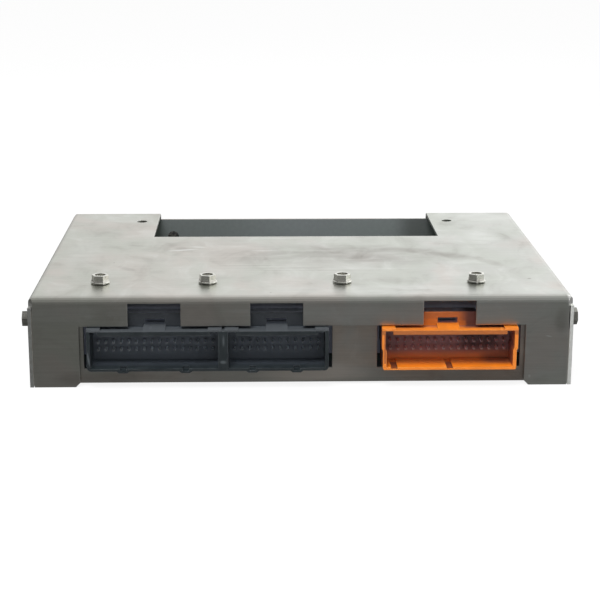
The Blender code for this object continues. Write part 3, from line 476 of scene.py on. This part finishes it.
def sheetMetal(name, look, wear):
    paint = Finish(name)
    x, y = paint.axes()[:2]
    ny, nz = paint.facing()[1:]
    slow = paint.cloud(wear["slow"], 3.0, warp=0.4)
    mottle = paint.cloud(wear["mottle"], 6.0, paint.scaled((0.9, 0.55, 1.0)), 0.6, 0.8)
    hue = paint.cloud(wear["hue"], 3.0, paint.scaled((0.9, 0.5, 1.2)), 0.5, 0.6)
    grain = paint.cloud(wear["grain"], 2.0, paint.scaled((0.04, 1.0, 1.0)))
    fine = paint.cloud(wear["fine"], 4.0)
    colour = paint.blend(paint.between(x, -wear["sideTurn"], wear["sideTurn"]), look["left"], look["right"])
    colour = paint.blend(paint.between(hue, 0.46, 0.66) * 0.5, colour, look["warm"])
    colour = paint.blend(paint.between(hue, 0.34, 0.54, 1.0, 0.0) * 0.5, colour, look["green"])
    stains = paint.between(mottle, 0.50, 0.75) * 0.26 + paint.between(slow, 0.45, 0.75) * 0.14
    pales = paint.between(mottle, 0.30, 0.46, 0.22, 0.0)
    onTop = paint.between(nz, 0.6, 0.9)
    onFront = paint.between(ny, -0.9, -0.6, 1.0, 0.0)
    if "darkMarks" in look:
        ragged = paint.cloud(wear["ragged"], 5.0, paint.scaled((0.4, 1.0, 1.0)), warp=0.5)
        ragged = paint.between(ragged, 0.3, 0.6, 0.4, 1.2)
        stains = stains + paint.topMarks(look["darkMarks"]) * ragged * onTop
        # pale marks, with painted sheen at the top's back corners
        pales = pales + paint.topMarks(look["paleMarksAndSheen"]) * ragged * onTop
    stains = stains + paint.frontMarks(look["frontDark"]) * onFront
    pales = pales + paint.frontMarks(look["frontPale"]) * onFront
    colour = paint.blend(stains, colour, look["stain"])
    colour = paint.blend(pales, colour, look["pale"])
    colour = paint.blend(0.06, colour, paint.node("ShaderNodeValToRGB", {
        "stops": ((0.3, (0.25, 0.25, 0.25)), (0.7, (0.95, 0.95, 0.95)))}, {0: grain}))
    specks = paint.between(paint.cells(wear["specks"]), 0.015, 0.04, 1.0, 0.0)
    specks = specks * paint.between(fine, 0.47, 0.55)
    colour = paint.blend(specks * 0.6, colour, wear["speck"])
    scratches = sum(paint.scratches(width, turn) for width, turn in wear["scratches"])
    colour = paint.blend(scratches * 0.35, colour, look["pale"])
    colour = paint.blend(paint.edges(wear["rub"]) * 0.55, colour, wear["rubbed"])
    inner = paint.inBox(look["inside"], 0.05)
    hidden = paint.blend(fine * 0.25, look["inner"], (0.1, 0.1, 0.1))
    hidden = paint.tinted(hidden, look.get("innerTints", ()))
    colour = paint.tinted(paint.blend(inner, colour, hidden), look.get("tints", ()))
    dull = look["roughness"] + paint.between(mottle, 0.3, 0.8) * 0.10 + fine * 0.05 + inner * 0.15
    height = grain * 0.4 + fine * 0.3 + slow * 0.5 + scratches * 0.3
    dulled = inner
    # painted highlight: the cut edges turn pale
    if "cutEdgeHighlight" in look:
        far, front, dullLeft, dullRight = look["cutEdgeHighlight"]
        far, front = far / perMetre, front / perMetre
        cut = paint.between(abs(x), far - 0.00002, far + 0.00002) * onFront
        cut = cut * paint.between(y, front - 0.0001, front + 0.0001, 1.0, 0.0)
        colour = paint.blend(cut * paint.between(fine, 0.3, 0.6, 0.5, 1.0), colour, look["pale"])
        dulled = inner + cut * paint.between(x, -0.08, 0.08, dullLeft, dullRight)
    return paint.surface({
        "Base Color": colour, "Metallic": 1 - dulled * wear["dulled"], "Roughness": dull,
        "Emission Color": paint.stray(look), "Emission Strength": 1.0,
        "Normal": paint.bump(height, wear["relief"], 0.35, paint.rounded(wear["bend"]))})


dress(sheetMetal("coverAluminium", coverLook, wearLook), "cover")
dress(sheetMetal("trayAluminium", trayLook, wearLook), "case_tray")
print("cover and tray finished")

# moulded headers and their pins
socketTop = 0.0200  # height of the headers' upper face
socketSides = (-0.0707, -0.0610)  # where along y the sockets' end walls lie
blackLook = {
    "plastic": shade((32, 39, 42)), "wornAndGlint": shade((92, 98, 102)), "dust": shade((58, 64, 67)),
    # the sides colour is painted shade on the sockets' end walls
    "roughness": 0.46, "sides": shade((52, 58, 64)),
    # painted light and shade: inside a socket the colour turns to this share of deep, from the mouth to the
    # back along y
    "deep": shade((96, 104, 114)), "deepShare": 0.85, "mouth": -0.0694, "back": -0.0630,
    "tints": (  # spans along x, y and z, softness in mm, colour, share
        ((None, (-72, -65.7), (19.7, 21.2)), 0.15, (80, 84, 88), 0.8),  # painted light: top of the shroud lighter, as lit from above
        ((None, (-65.7, -58), (20.3, 99)), 0.2, (64, 68, 74), 0.8),  # painted light: latch bridge lighter
        # painted light: the bridge's top pale and bluish, for the dim light under the cover
        ((None, (-65.4, -58), (24.4, 99)), 0.2, (190, 196, 208), 0.95),
    ),
    "stray": (((None, (-65.4, -57.3), (19.85, 22.4)), 0.1, (41, 44, 49)),),  # painted glow in the hollow behind the catch
    # painted glints and highlights on the front: x, z, half length, half height in mm, turn, how strong
    "paintedGlints": (
        (-25.8, 16.5, 0.5, 2.5, 0, 0.5), (-26.0, 9.2, 1.4, 0.8, 0, 0.6), (-53.0, 20.4, 2.2, 0.3, 0, 0.7),
        (-19.0, 20.9, 0.5, 0.3, 0, 0.9), (-12.0, 25.3, 0.3, 0.9, 0, 0.7), (-70.2, 10.5, 0.4, 3.4, -8, 0.6),
        (-49.8, 20.3, 0.6, 0.3, 0, 0.8), (-36, 20.2, 3, 0.3, 0, 0.4), (-5, 20.3, 2.0, 0.3, 0, 0.4),
    ),
}
orangeLook = {
    "plastic": shade((238, 134, 38)), "wornAndGlint": shade((252, 176, 92)), "dust": shade((176, 96, 44)),
    # the sides colour is painted shade on the sockets' end walls
    "roughness": 0.40, "sides": shade((112, 62, 56)),
    # painted light and shade inside the sockets, as for the black moulding
    "deep": shade((122, 94, 102)), "deepShare": 0.95, "mouth": -0.0704, "back": -0.0616,
    "tints": (
        ((None, (-65.7, -58), (20.4, 99)), 0.2, (150, 76, 40), 0.75),  # latch bridge, in the cover's shade
        ((None, (-65.4, -58), (24.4, 99)), 0.2, (150, 150, 166), 0.95),  # painted light: its top pale and bluish, for the dim light under the cover
        (((53.6, 66), (-68, -50), (10, 30)), 2.2, (66, 44, 52), 0.85),  # its right flank, in shade
        (((30, 45.0), (-65.7, -58), (19, 22.1)), 0.4, (222, 122, 36), 0.75),  # feet of its flanks, lit
        (((51.8, 54.6), (-65.7, -58), (19, 21.5)), 0.5, (214, 118, 40), 0.7),
        (((38, 50), (-65.7, -58), (24.2, 24.55)), 0.12, (214, 124, 66), 0.7),  # painted highlight along its top edge
        (((27.1, 27.8), (-71.6, -71.2), (8.4, 18.6)), 0.15, (140, 72, 46), 0.7),  # painted shade on the inner half of the left rim
        ((None, (-72, -71.2), (18.2, 19.7)), 0.2, (150, 84, 42), 0.75),  # painted shade on the upper lip, which leans inwards
        ((None, (-71.1, -60), (0, 6.95)), 0.1, (104, 58, 44), 0.85),  # painted shade in the key grooves
        ((None, (-71.0, -62), (6.98, 7.25)), 0.1, (250, 134, 14), 0.6),  # painted light on the floor near the mouth
        ((None, (-63.5, -50), (0, 9.0)), 1.6, (244, 140, 60), 0.8),  # painted light: the floor's back and the plate's foot lighter, out of their shade
        (((61, 90), (-66.5, -50), (0, 9.5)), 2.5, (150, 90, 70), 0.8),  # its right end, in shade
    ),
    "stray": (((None, (-65.4, -57.3), (19.85, 22.4)), 0.1, (46, 43, 52)),),  # painted glow in the hollow behind the catch
    # painted glints and highlights on the front
    "paintedGlints": (
        (28.5, 19.6, 1.2, 0.4, 30, 0.5), (66.0, 20.0, 0.5, 0.5, 0, 0.5), (48.0, 7.2, 2.0, 0.4, 0, 0.5),
    ),
}


def mouldedPlastic(name, look):
    paint = Finish(name)
    y, z = paint.axes()[1:]
    nx, ny, nz = paint.facing()
    mottle = paint.cloud(0.004, 4.0, warp=0.3)
    fine = paint.cloud(0.0003, 2.0)
    scuff = paint.cloud(0.0012, 3.0, paint.scaled((0.15, 1.0, 1.0)))
    colour = paint.blend(paint.between(mottle, 0.3, 0.7) * 0.2, look["plastic"], look["dust"])
    settled = paint.between(nz, 0.5, 0.95) * paint.between(mottle, 0.35, 0.65)
    colour = paint.blend(settled * 0.25, colour, look["dust"])
    rubbed = paint.edges(0.00035) * paint.between(scuff, 0.3, 0.6)
    colour = paint.blend(rubbed * 0.7, colour, look["wornAndGlint"])
    # painted glints, in the same pale colour as the rubbed edges
    if "paintedGlints" in look:
        colour = paint.blend(paint.frontMarks(look["paintedGlints"]), colour, look["wornAndGlint"])
    if "deep" in look:  # painted light and shade: inside a socket the colour turns to deep
        depth = paint.between(y, look["mouth"], look["back"]) * look["deepShare"]
        depth = depth * paint.between(z, socketTop - 0.0001, socketTop + 0.0001, 1.0, 0.0)
        colour = paint.blend(depth, colour, look["deep"])
        # painted shade on the sockets' end walls
        endWallShade = paint.between(abs(nx), 0.5, 0.9) * paint.within(y, *socketSides, 0.0004)
        colour = paint.blend(endWallShade * 0.8, colour, look["sides"])
    colour = paint.tinted(colour, look.get("tints", ()))
    dull = look["roughness"] + mottle * 0.12 + paint.between(scuff, 0.5, 0.7) * 0.1
    return paint.surface({
        "Base Color": colour, "Roughness": dull, "Metallic": 0.0,
        "Emission Color": paint.stray(look), "Emission Strength": 1.0,
        "Normal": paint.bump(fine * 0.5 + scuff * 0.4, 0.00003, 0.4, paint.rounded(0.0002))})


blackFinish = mouldedPlastic("blackMoulding", blackLook)
orangeFinish = mouldedPlastic("orangeMoulding", orangeLook)
dress(blackFinish, "header_black")
dress(orangeFinish, "header_orange")

# the thin plate that closes each socket round its pins: centre, half length and corner radius
plateLook = {
    "blackLeft": (-0.0486, 0.02100, 0.0012), "blackRight": (-0.00828, 0.01592, 0.0012),
    "orange": (0.0489, 0.02130, 0.0005), "cornerSteps": 4,
    "front": -0.06065, "back": -0.06045, "low": 0.00715, "high": 0.01825,
}


def makePlate(name, look, place, material):
    centre, half, corner = place
    work = bmesh.new()
    outline = []
    for signX, signZ, start in ((1, 1, 0), (-1, 1, 90), (-1, -1, 180), (1, -1, 270)):
        cornerX = centre + signX * (half - corner)
        cornerZ = (look["high"] - corner) if signZ > 0 else (look["low"] + corner)
        for step in range(look["cornerSteps"] + 1):
            angle = math.radians(start + 90 * step / look["cornerSteps"])
            outline.append((cornerX + corner * math.cos(angle), cornerZ + corner * math.sin(angle)))
    front = work.faces.new([work.verts.new((x, look["front"], z)) for x, z in outline])
    pushed = bmesh.ops.extrude_face_region(work, geom=[front])["geom"]
    moving = [item for item in pushed if isinstance(item, bmesh.types.BMVert)]
    bmesh.ops.translate(work, verts=moving, vec=(0, look["back"] - look["front"], 0))
    addPiece(name, work, material).data.shade_flat()


makePlate("socketPlateLeft", plateLook, plateLook["blackLeft"], blackFinish)
makePlate("socketPlateRight", plateLook, plateLook["blackRight"], blackFinish)
makePlate("socketPlateOrange", plateLook, plateLook["orange"], orangeFinish)

pinLook = {
    "tin": shade((205, 204, 200)), "tarnish": shade((120, 116, 112)), "roughness": 0.28, "pitch": 0.00254,
    "tipEnd": 0.00025, "tipHighlight": 0.00026,  # how far the tip's colour reaches back, and the reach of the painted highlight in its middle
    "carrierFrom": -0.0606, "carrierTo": -0.0573,  # the plastic strip, along y
    "upperRow": (0.0126, 0.0128), "rowShift": 57,  # where the upper row begins, and its own random run
    "tipsTurn": (-0.075, -0.03),  # painted light: the tips' left colour turns to the right one along x
    # the strip, the pins' sides, and their tips on the left, on the right and in the upper row; painted
    # light: the strip takes the socket's painted inside colour and the sides are pale so that their shade
    # doesn't show
    "black": {
        "strip": shade((96, 104, 114)), "shank": shade((196, 204, 212)), "left": shade((126, 132, 136)),
        "right": shade((84, 90, 96)), "upper": shade((110, 116, 120)), "upperShare": 0.0},
    "orange": {
        "strip": shade((128, 94, 96)), "shank": shade((206, 176, 184)), "left": shade((150, 126, 124)),
        "right": shade((150, 126, 124)), "upper": shade((100, 80, 80)), "upperShare": 0.85},
}


def tinnedPins(name, look, tone):
    paint = Finish(name)
    low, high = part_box(name)
    x, y, z = paint.axes()
    cloud = paint.cloud(0.002, 3.0)
    tin = paint.blend(paint.between(cloud, 0.4, 0.7), look["tin"], look["tarnish"])
    columns = x / look["pitch"] + (0.5 - (low.x + high.x) / 2 / look["pitch"])
    offCentre = abs(columns.fraction() - 0.5) * look["pitch"]
    upper = paint.between(z, *look["upperRow"])
    bright = paint.between(paint.chance(columns + upper * look["rowShift"]), 0.0, 1.0, 0.6, 1.0)
    tip = paint.blend(paint.between(x, *look["tipsTurn"]), tone["left"], tone["right"])
    tip = paint.blend(upper * tone["upperShare"], tip, tone["upper"])
    # painted highlight: a pale point in the middle of each tip, of random strength
    point = paint.between(offCentre, look["tipHighlight"] * 0.6, look["tipHighlight"], 1.0, 0.0)
    onTip = paint.between(y, low.y + look["tipEnd"] * 0.4, low.y + look["tipEnd"], 1.0, 0.0)
    onTip = onTip * (1 - point * bright * 0.6)
    carrier = paint.within(y, look["carrierFrom"], look["carrierTo"], 0.0001)
    tails = paint.between(y, look["carrierTo"] - 0.0001, look["carrierTo"] + 0.0001)
    colour = paint.blend(onTip, tone["shank"], tip)
    colour = paint.blend(carrier, colour, tone["strip"])
    colour = paint.blend(tails, colour, tin)
    return paint.surface({
        "Base Color": colour, "Metallic": tails,
        "Roughness": look["roughness"] + cloud * 0.15 + carrier * 0.25,
        "Normal": paint.bump(paint.cloud(0.0003), 0.00002, 0.4, paint.rounded(0.0001))})


for pinName in ("terminals_black_32", "terminals_black_24"):
    dress(tinnedPins(pinName, pinLook, pinLook["black"]), pinName)
dress(tinnedPins("terminals_orange_32", pinLook, pinLook["orange"]), "terminals_orange_32")
print("headers and pins finished")

# screws, and the flared lower half of each cover screw's hexagon
screwLook = {
    "zinc": shade((222, 222, 214)), "dark": shade((110, 106, 98)), "roughness": 0.20, "metallic": 0.92,
    "wornAndGlint": (0.9, 0.9, 0.87),
    "recess": shade((104, 100, 92)), "recessRadius": 0.00186, "recessDepth": 0.00046,  # the painted shade on its upper wall, and how deep that reaches
    "headHeight": 0.0030,  # from the cover's top to the top of a screw's head
    "footRadius": 0.00334, "neckRadius": 0.00292, "footTop": 0.0014, "footLow": 0.0002, "footWall": 0.0001,
}
# what differs on the screws in the sides and on the flared feet
dullLook = {**screwLook, "zinc": shade((150, 150, 144)), "roughness": 0.3}
footLook = {**screwLook, "zinc": shade((192, 190, 182)), "roughness": 0.28}


def platedSteel(name, look, high=None, middle=None):  # high and middle of a head that shows its recess
    paint = Finish(name)
    x, y, z = paint.axes()
    blot = paint.cloud(0.0018, 4.0, warp=0.5)
    fine = paint.cloud(0.0003, 3.0)
    colour = paint.blend(paint.between(blot, 0.48, 0.8) * 0.5, look["zinc"], look["dark"])
    colour = paint.blend(paint.edges(0.0003) * 0.5, colour, look["wornAndGlint"])
    if high:  # painted shade: the upper part of the recess's wall is dark
        across, deep = x - middle.x, y - middle.y
        radius = (across * across + deep * deep) ** 0.5
        inRecess = paint.between(radius, look["recessRadius"], look["recessRadius"] + 0.00006, 1.0, 0.0)
        wall = paint.within(z, high.z - look["recessDepth"] + 0.00008, high.z - 0.00005, 0.00003)
        colour = paint.blend(inRecess * wall, colour, look["recess"])
    return paint.surface({
        "Base Color": colour, "Metallic": look["metallic"], "Roughness": look["roughness"] + blot * 0.2,
        "Normal": paint.bump(fine + blot, 0.00003, 0.4, paint.rounded(0.00025))})


def makeScrewFoot(name, look, screw, material):
    low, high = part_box(screw)
    middle = (low + high) / 2
    rim = [vertex.co - middle for vertex in nodes[screw].data.vertices if vertex.co.z > high.z - 0.00001]
    corner = max(rim, key=lambda point: point.xy.length)  # so the foot's corners line up with the head's
    turn = math.atan2(corner.y, corner.x)
    sheetTop = cadBox[1].z - look["headHeight"]
    top, foot = sheetTop + look["footTop"], sheetTop + look["footLow"]
    bore = look["neckRadius"] - look["footWall"]
    profile = [(look["neckRadius"], top), (look["footRadius"], foot), (bore, foot), (bore, top)]
    work = bmesh.new()
    turned(work, profile, lambda radius, angle, height: (
        middle.x + radius * math.cos(angle + turn), middle.y + radius * math.sin(angle + turn), height),
        sides=6, closed=True)
    addPiece(name, work, material).data.shade_flat()


screws = [name for name in nodes if "screw" in name]
dress(platedSteel("platedSteel", screwLook), "crystal", *screws)
dress(platedSteel("dullSteel", dullLook), *[name for name in screws if name.startswith("side")])
footFinish = platedSteel("footSteel", footLook)
for number in range(1, 5):
    screw = "cover_screw_%d" % number
    low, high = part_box(screw)
    dress(platedSteel("headSteel%d" % number, screwLook, high, (low + high) / 2), screw)
    makeScrewFoot("screwFoot_%d" % number, footLook, screw, footFinish)
print("screws finished:", len(screws))

# a dark domed plug that fills the rear wall's hole
plugLook = {
    "centre": (-0.0492, 0.0209), "wall": (0.0687, 0.0699),  # x and z, and the wall's two faces along y
    "radius": 0.00222, "dome": 0.0005, "domeSteps": 5, "backShare": 0.6, "backRise": 0.0002, "sides": 32,
    "darkFill": shade((38, 38, 40)), "dust": shade((86, 84, 80)),
}


def makePlug(look):
    work = bmesh.new()
    centreX, centreZ = look["centre"]
    inner, outer = look["wall"]
    steps = [step / look["domeSteps"] * math.pi / 2 for step in range(1, look["domeSteps"] + 1)]
    profile = [(look["radius"] * math.sin(t), inner - look["dome"] * math.cos(t)) for t in steps]
    profile += [(look["radius"], outer), (look["radius"] * look["backShare"], outer + look["backRise"])]
    turned(work, profile, lambda radius, angle, depth: (
        centreX + radius * math.cos(angle), depth, centreZ + radius * math.sin(angle)), look["sides"])
    paint = Finish("plugDarkFill")
    cloud = paint.cloud(0.0012, 4.0)
    addPiece("rearHolePlug", work, paint.surface({
        "Base Color": paint.blend(paint.between(cloud, 0.4, 0.7), look["darkFill"], look["dust"]),
        "Roughness": 0.6 + cloud * 0.2, "Normal": paint.bump(cloud, 0.0001, 0.5)}))


makePlug(plugLook)
print("rear plug made")

# inside the case
boardLook = {
    "mask": shade((24, 70, 42)), "track": shade((40, 98, 58)), "pad": shade((196, 192, 180)),
    "edge": shade((96, 96, 74)), "pitch": 0.00254, "patch": 0.018, "viaSpacing": 0.0051,
    "frontShade": shade((28, 36, 34)), "frontEdge": (-0.0600, -0.0585),  # dark up to here along y
}


def boardLaminate(name, look):
    paint = Finish(name)
    x, y = paint.axes()[:2]
    flat = paint.scaled((1.0, 1.0, 0.0))
    pick = paint.split(paint.cells(look["patch"], out="Color", where=flat))[0]
    alongX = paint.within((y / look["pitch"] * 2).fraction(), 0.25, 0.75, 0.05)
    alongY = paint.within((x / look["pitch"] * 2).fraction(), 0.25, 0.75, 0.05)
    first = paint.between(pick, 0.45, 0.55)  # tracks run along x in some patches and along y in others
    tracks = alongX * first + alongY * (1 - first)
    level = paint.between(abs(paint.facing()[2]), 0.5, 0.9)
    colour = paint.blend(tracks, look["mask"], look["track"])
    vias = paint.within(paint.cells(look["viaSpacing"], where=flat), 0.06, 0.12, 0.01) * level
    colour = paint.blend(vias, colour, look["pad"])
    colour = paint.blend(1 - level, colour, look["edge"])
    colour = paint.blend(paint.between(y, *look["frontEdge"], 1.0, 0.0), colour, look["frontShade"])
    return paint.surface({
        "Base Color": colour, "Roughness": 0.28 + paint.cloud(0.006) * 0.2, "Metallic": vias * 0.8,
        "Normal": paint.bump(tracks + vias, 0.00004, 0.5)})


dress(boardLaminate("boardLaminate", boardLook), "circuit_board")

barLook = {
    "metal": shade((176, 180, 184)), "dark": shade((128, 130, 134)), "roughness": 0.36,
    "front": shade((190, 194, 204)), "frontFace": (-0.05130, -0.05125),  # painted light: its front face pale, bluish and matt up to here along y
    # painted glow on the bar's front face
    "stray": (((None, (-52, -51.35), (5, 23)), 0.02, (36, 38, 44)),),
}


def drawnBar(name, look):
    paint = Finish(name)
    lines = paint.cloud(0.0004, 3.0, paint.scaled((0.02, 1.0, 1.0)))
    blot = paint.cloud(0.009, 4.0, warp=0.4)
    colour = paint.blend(paint.between(blot, 0.4, 0.75), look["metal"], look["dark"])
    # painted light on the front face
    matt = paint.between(paint.axes()[1], *look["frontFace"], 1.0, 0.0)
    colour = paint.blend(matt, colour, look["front"])
    return paint.surface({
        "Base Color": colour, "Metallic": 0.7 - matt * 0.7, "Roughness": look["roughness"] + blot * 0.12,
        "Emission Color": paint.stray(look), "Emission Strength": 1.0,
        "Normal": paint.bump(lines, 0.00004, 0.5, paint.rounded(0.0003))})


dress(drawnBar("drawnBar", barLook), "heat_sink_bar", *["board_stand_off_%d" % n for n in range(1, 5)])

springLook = {"steel": shade((120, 122, 128)), "blued": shade((60, 64, 78)), "roughness": 0.3}


def springSteel(name, look):
    paint = Finish(name)
    blot = paint.cloud(0.006, 4.0, warp=0.6)
    grain = paint.cloud(0.0005, 3.0, paint.scaled((0.1, 1.0, 1.0)))
    colour = paint.blend(paint.between(blot, 0.35, 0.7), look["steel"], look["blued"])
    return paint.surface({
        "Base Color": colour, "Metallic": 1.0, "Roughness": look["roughness"] + blot * 0.15,
        "Normal": paint.bump(grain, 0.00003, 0.5, paint.rounded(0.0002))})


dress(springSteel("springSteel", springLook), "driver_clamp")

chipLook = {
    "epoxy": shade((38, 38, 40)), "haze": shade((66, 66, 66)), "lead": shade((190, 188, 182)),
    "roughness": 0.55,
    # over a piece's lowest point: where its moulding begins, and a driver's metal tab
    "driverBody": 0.0045, "driverTab": 0.0133, "processorBody": 0.0003, "interfaceBody": 0.0008,
    "processorHalf": (0.0120, 0.0120), "interfaceHalf": (0.0131, 0.00675),  # half sizes of the mouldings
}


def mouldedChip(name, look, body, bodyHalf=None, tab=None):
    paint = Finish(name + "Finish")
    low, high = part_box(name)
    x, y, z = paint.axes()
    grit = paint.cloud(0.0004, 3.0)
    haze = paint.cloud(0.005, 4.0, warp=0.4)
    colour = paint.blend(paint.between(haze, 0.35, 0.75) * 0.5, look["epoxy"], look["haze"])
    metal = paint.between(z, low.z + body - 0.00002, low.z + body + 0.00002, 1.0, 0.0)
    if bodyHalf:  # leads that stand outside the moulding
        middle = (low + high) / 2
        reach = (abs(y - middle.y) - bodyHalf[1]).larger(abs(x - middle.x) - bodyHalf[0])
        metal = metal.larger(paint.between(reach, 0.00005, 0.00012))
    if tab:  # the metal tab over the moulding
        metal = metal.larger(paint.between(z, low.z + tab - 0.00005, low.z + tab + 0.00005))
    colour = paint.blend(metal, colour, look["lead"])
    return paint.surface({
        "Base Color": colour, "Metallic": metal * 0.95,
        "Roughness": look["roughness"] - metal * 0.25 + grit * 0.1,
        "Normal": paint.bump(grit, 0.00004, 0.5, paint.rounded(0.00015))})


def dressChips(look):
    for name in nodes:
        if name.startswith("driver_") and name != "driver_clamp":
            dress(mouldedChip(name, look, look["driverBody"], tab=look["driverTab"]), name)
        elif name == "processor":
            dress(mouldedChip(name, look, look["processorBody"], look["processorHalf"]), name)
        elif name.startswith("interface_chip"):
            dress(mouldedChip(name, look, look["interfaceBody"], look["interfaceHalf"]), name)


dressChips(chipLook)

socketLook = {
    "plastic": shade((60, 62, 60)), "wornAndGlint": shade((110, 112, 108)), "dust": shade((130, 128, 120)),
    "roughness": 0.45,
}
moduleLook = {
    "plastic": shade((34, 52, 88)), "wornAndGlint": shade((90, 108, 140)), "dust": shade((58, 74, 106)),
    "roughness": 0.4,
}
dress(mouldedPlastic("memorySocketPlastic", socketLook), "memory_socket")
dress(mouldedPlastic("memoryModulePlastic", moduleLook), "memory_module")

packLook = {
    "coat": shade((158, 122, 60)), "dark": shade((120, 88, 44)), "lead": shade((190, 188, 182)),
    "roughness": 0.3, "leadTop": (0.0015, 0.0016),  # the leads turn to coat between these heights
}
sleeveLook = {
    "sleeve": shade((28, 34, 66)), "top": shade((196, 196, 192)), "stripe": shade((150, 156, 170)),
    "groove": (0.1, 0.1, 0.1), "roughness": 0.32,
    "topRadius": (0.0038, 0.0041), "topEdge": (0.0004, 0.0003),  # the bare top: its reach out and down
    "grooveHalf": 0.0001, "stripeHalf": 0.0016,
}
coilLook = {"enamel": shade((176, 88, 40)), "shadow": shade((86, 36, 18)), "roughness": 0.28, "turns": 44}


def dippedCoat(name, look):
    paint = Finish(name)
    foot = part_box(name)[0].z
    start, end = look["leadTop"]
    cloud = paint.cloud(0.003, 3.0)
    metal = paint.between(paint.axes()[2], foot + start, foot + end, 1.0, 0.0)
    colour = paint.blend(paint.between(cloud, 0.3, 0.7), look["coat"], look["dark"])
    colour = paint.blend(metal, colour, look["lead"])
    return paint.surface({
        "Base Color": colour, "Metallic": metal * 0.9, "Roughness": look["roughness"] + cloud * 0.15,
        "Normal": paint.bump(cloud, 0.00015, 0.4, paint.rounded(0.0003))})


def canSleeve(name, look):
    paint = Finish(name)
    low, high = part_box(name)
    x, y, z = paint.axes()
    middle = (low + high) / 2
    across, deep = x - middle.x, y - middle.y
    radius = (across * across + deep * deep) ** 0.5
    start, end = look["topEdge"]
    bare = paint.between(z, high.z - start, high.z - end)
    bare = bare * paint.between(radius, *look["topRadius"], 1.0, 0.0)
    half, wide = look["grooveHalf"], look["stripeHalf"]
    cross = paint.within(across, -half, half, 0.00005) + paint.within(deep, -half, half, 0.00005)
    stripe = paint.within(across, -wide, wide, 0.0002) * paint.between(deep, 0.0, 0.001, 1.0, 0.0)
    colour = paint.blend(stripe * 0.6, look["sleeve"], look["stripe"])
    colour = paint.blend(bare, colour, look["top"])
    colour = paint.blend(bare * cross * 0.7, colour, look["groove"])
    cloud = paint.cloud(0.002, 3.0)
    return paint.surface({
        "Base Color": colour, "Metallic": bare * 0.95, "Roughness": look["roughness"] + cloud * 0.15,
        "Normal": paint.bump(cloud * 0.3 - bare * cross, 0.0001, 0.5, paint.rounded(0.0003))})


def coilWinding(name, look):
    paint = Finish(name)
    low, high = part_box(name)
    middle = (low + high) / 2
    x, y = paint.axes()[:2]
    angle = (x - middle.x).maths("ARCTAN2", y - middle.y, x - middle.x) * look["turns"]
    groove = paint.between(angle.maths("SINE", angle), -0.9, 0.2)
    cloud = paint.cloud(0.002, 3.0)
    colour = paint.blend(groove, look["shadow"], look["enamel"])
    return paint.surface({
        "Base Color": colour, "Metallic": 0.75, "Roughness": look["roughness"] + cloud * 0.15,
        "Normal": paint.bump(groove, 0.0003, 0.6)})


for packName in ("resistor_pack_1", "resistor_pack_2"):
    dress(dippedCoat(packName, packLook), packName)
for canName in ("capacitor_1", "capacitor_2", "capacitor_3"):
    dress(canSleeve(canName, sleeveLook), canName)
dress(coilWinding("ring_coil", coilLook), "ring_coil")
print("inside finished")
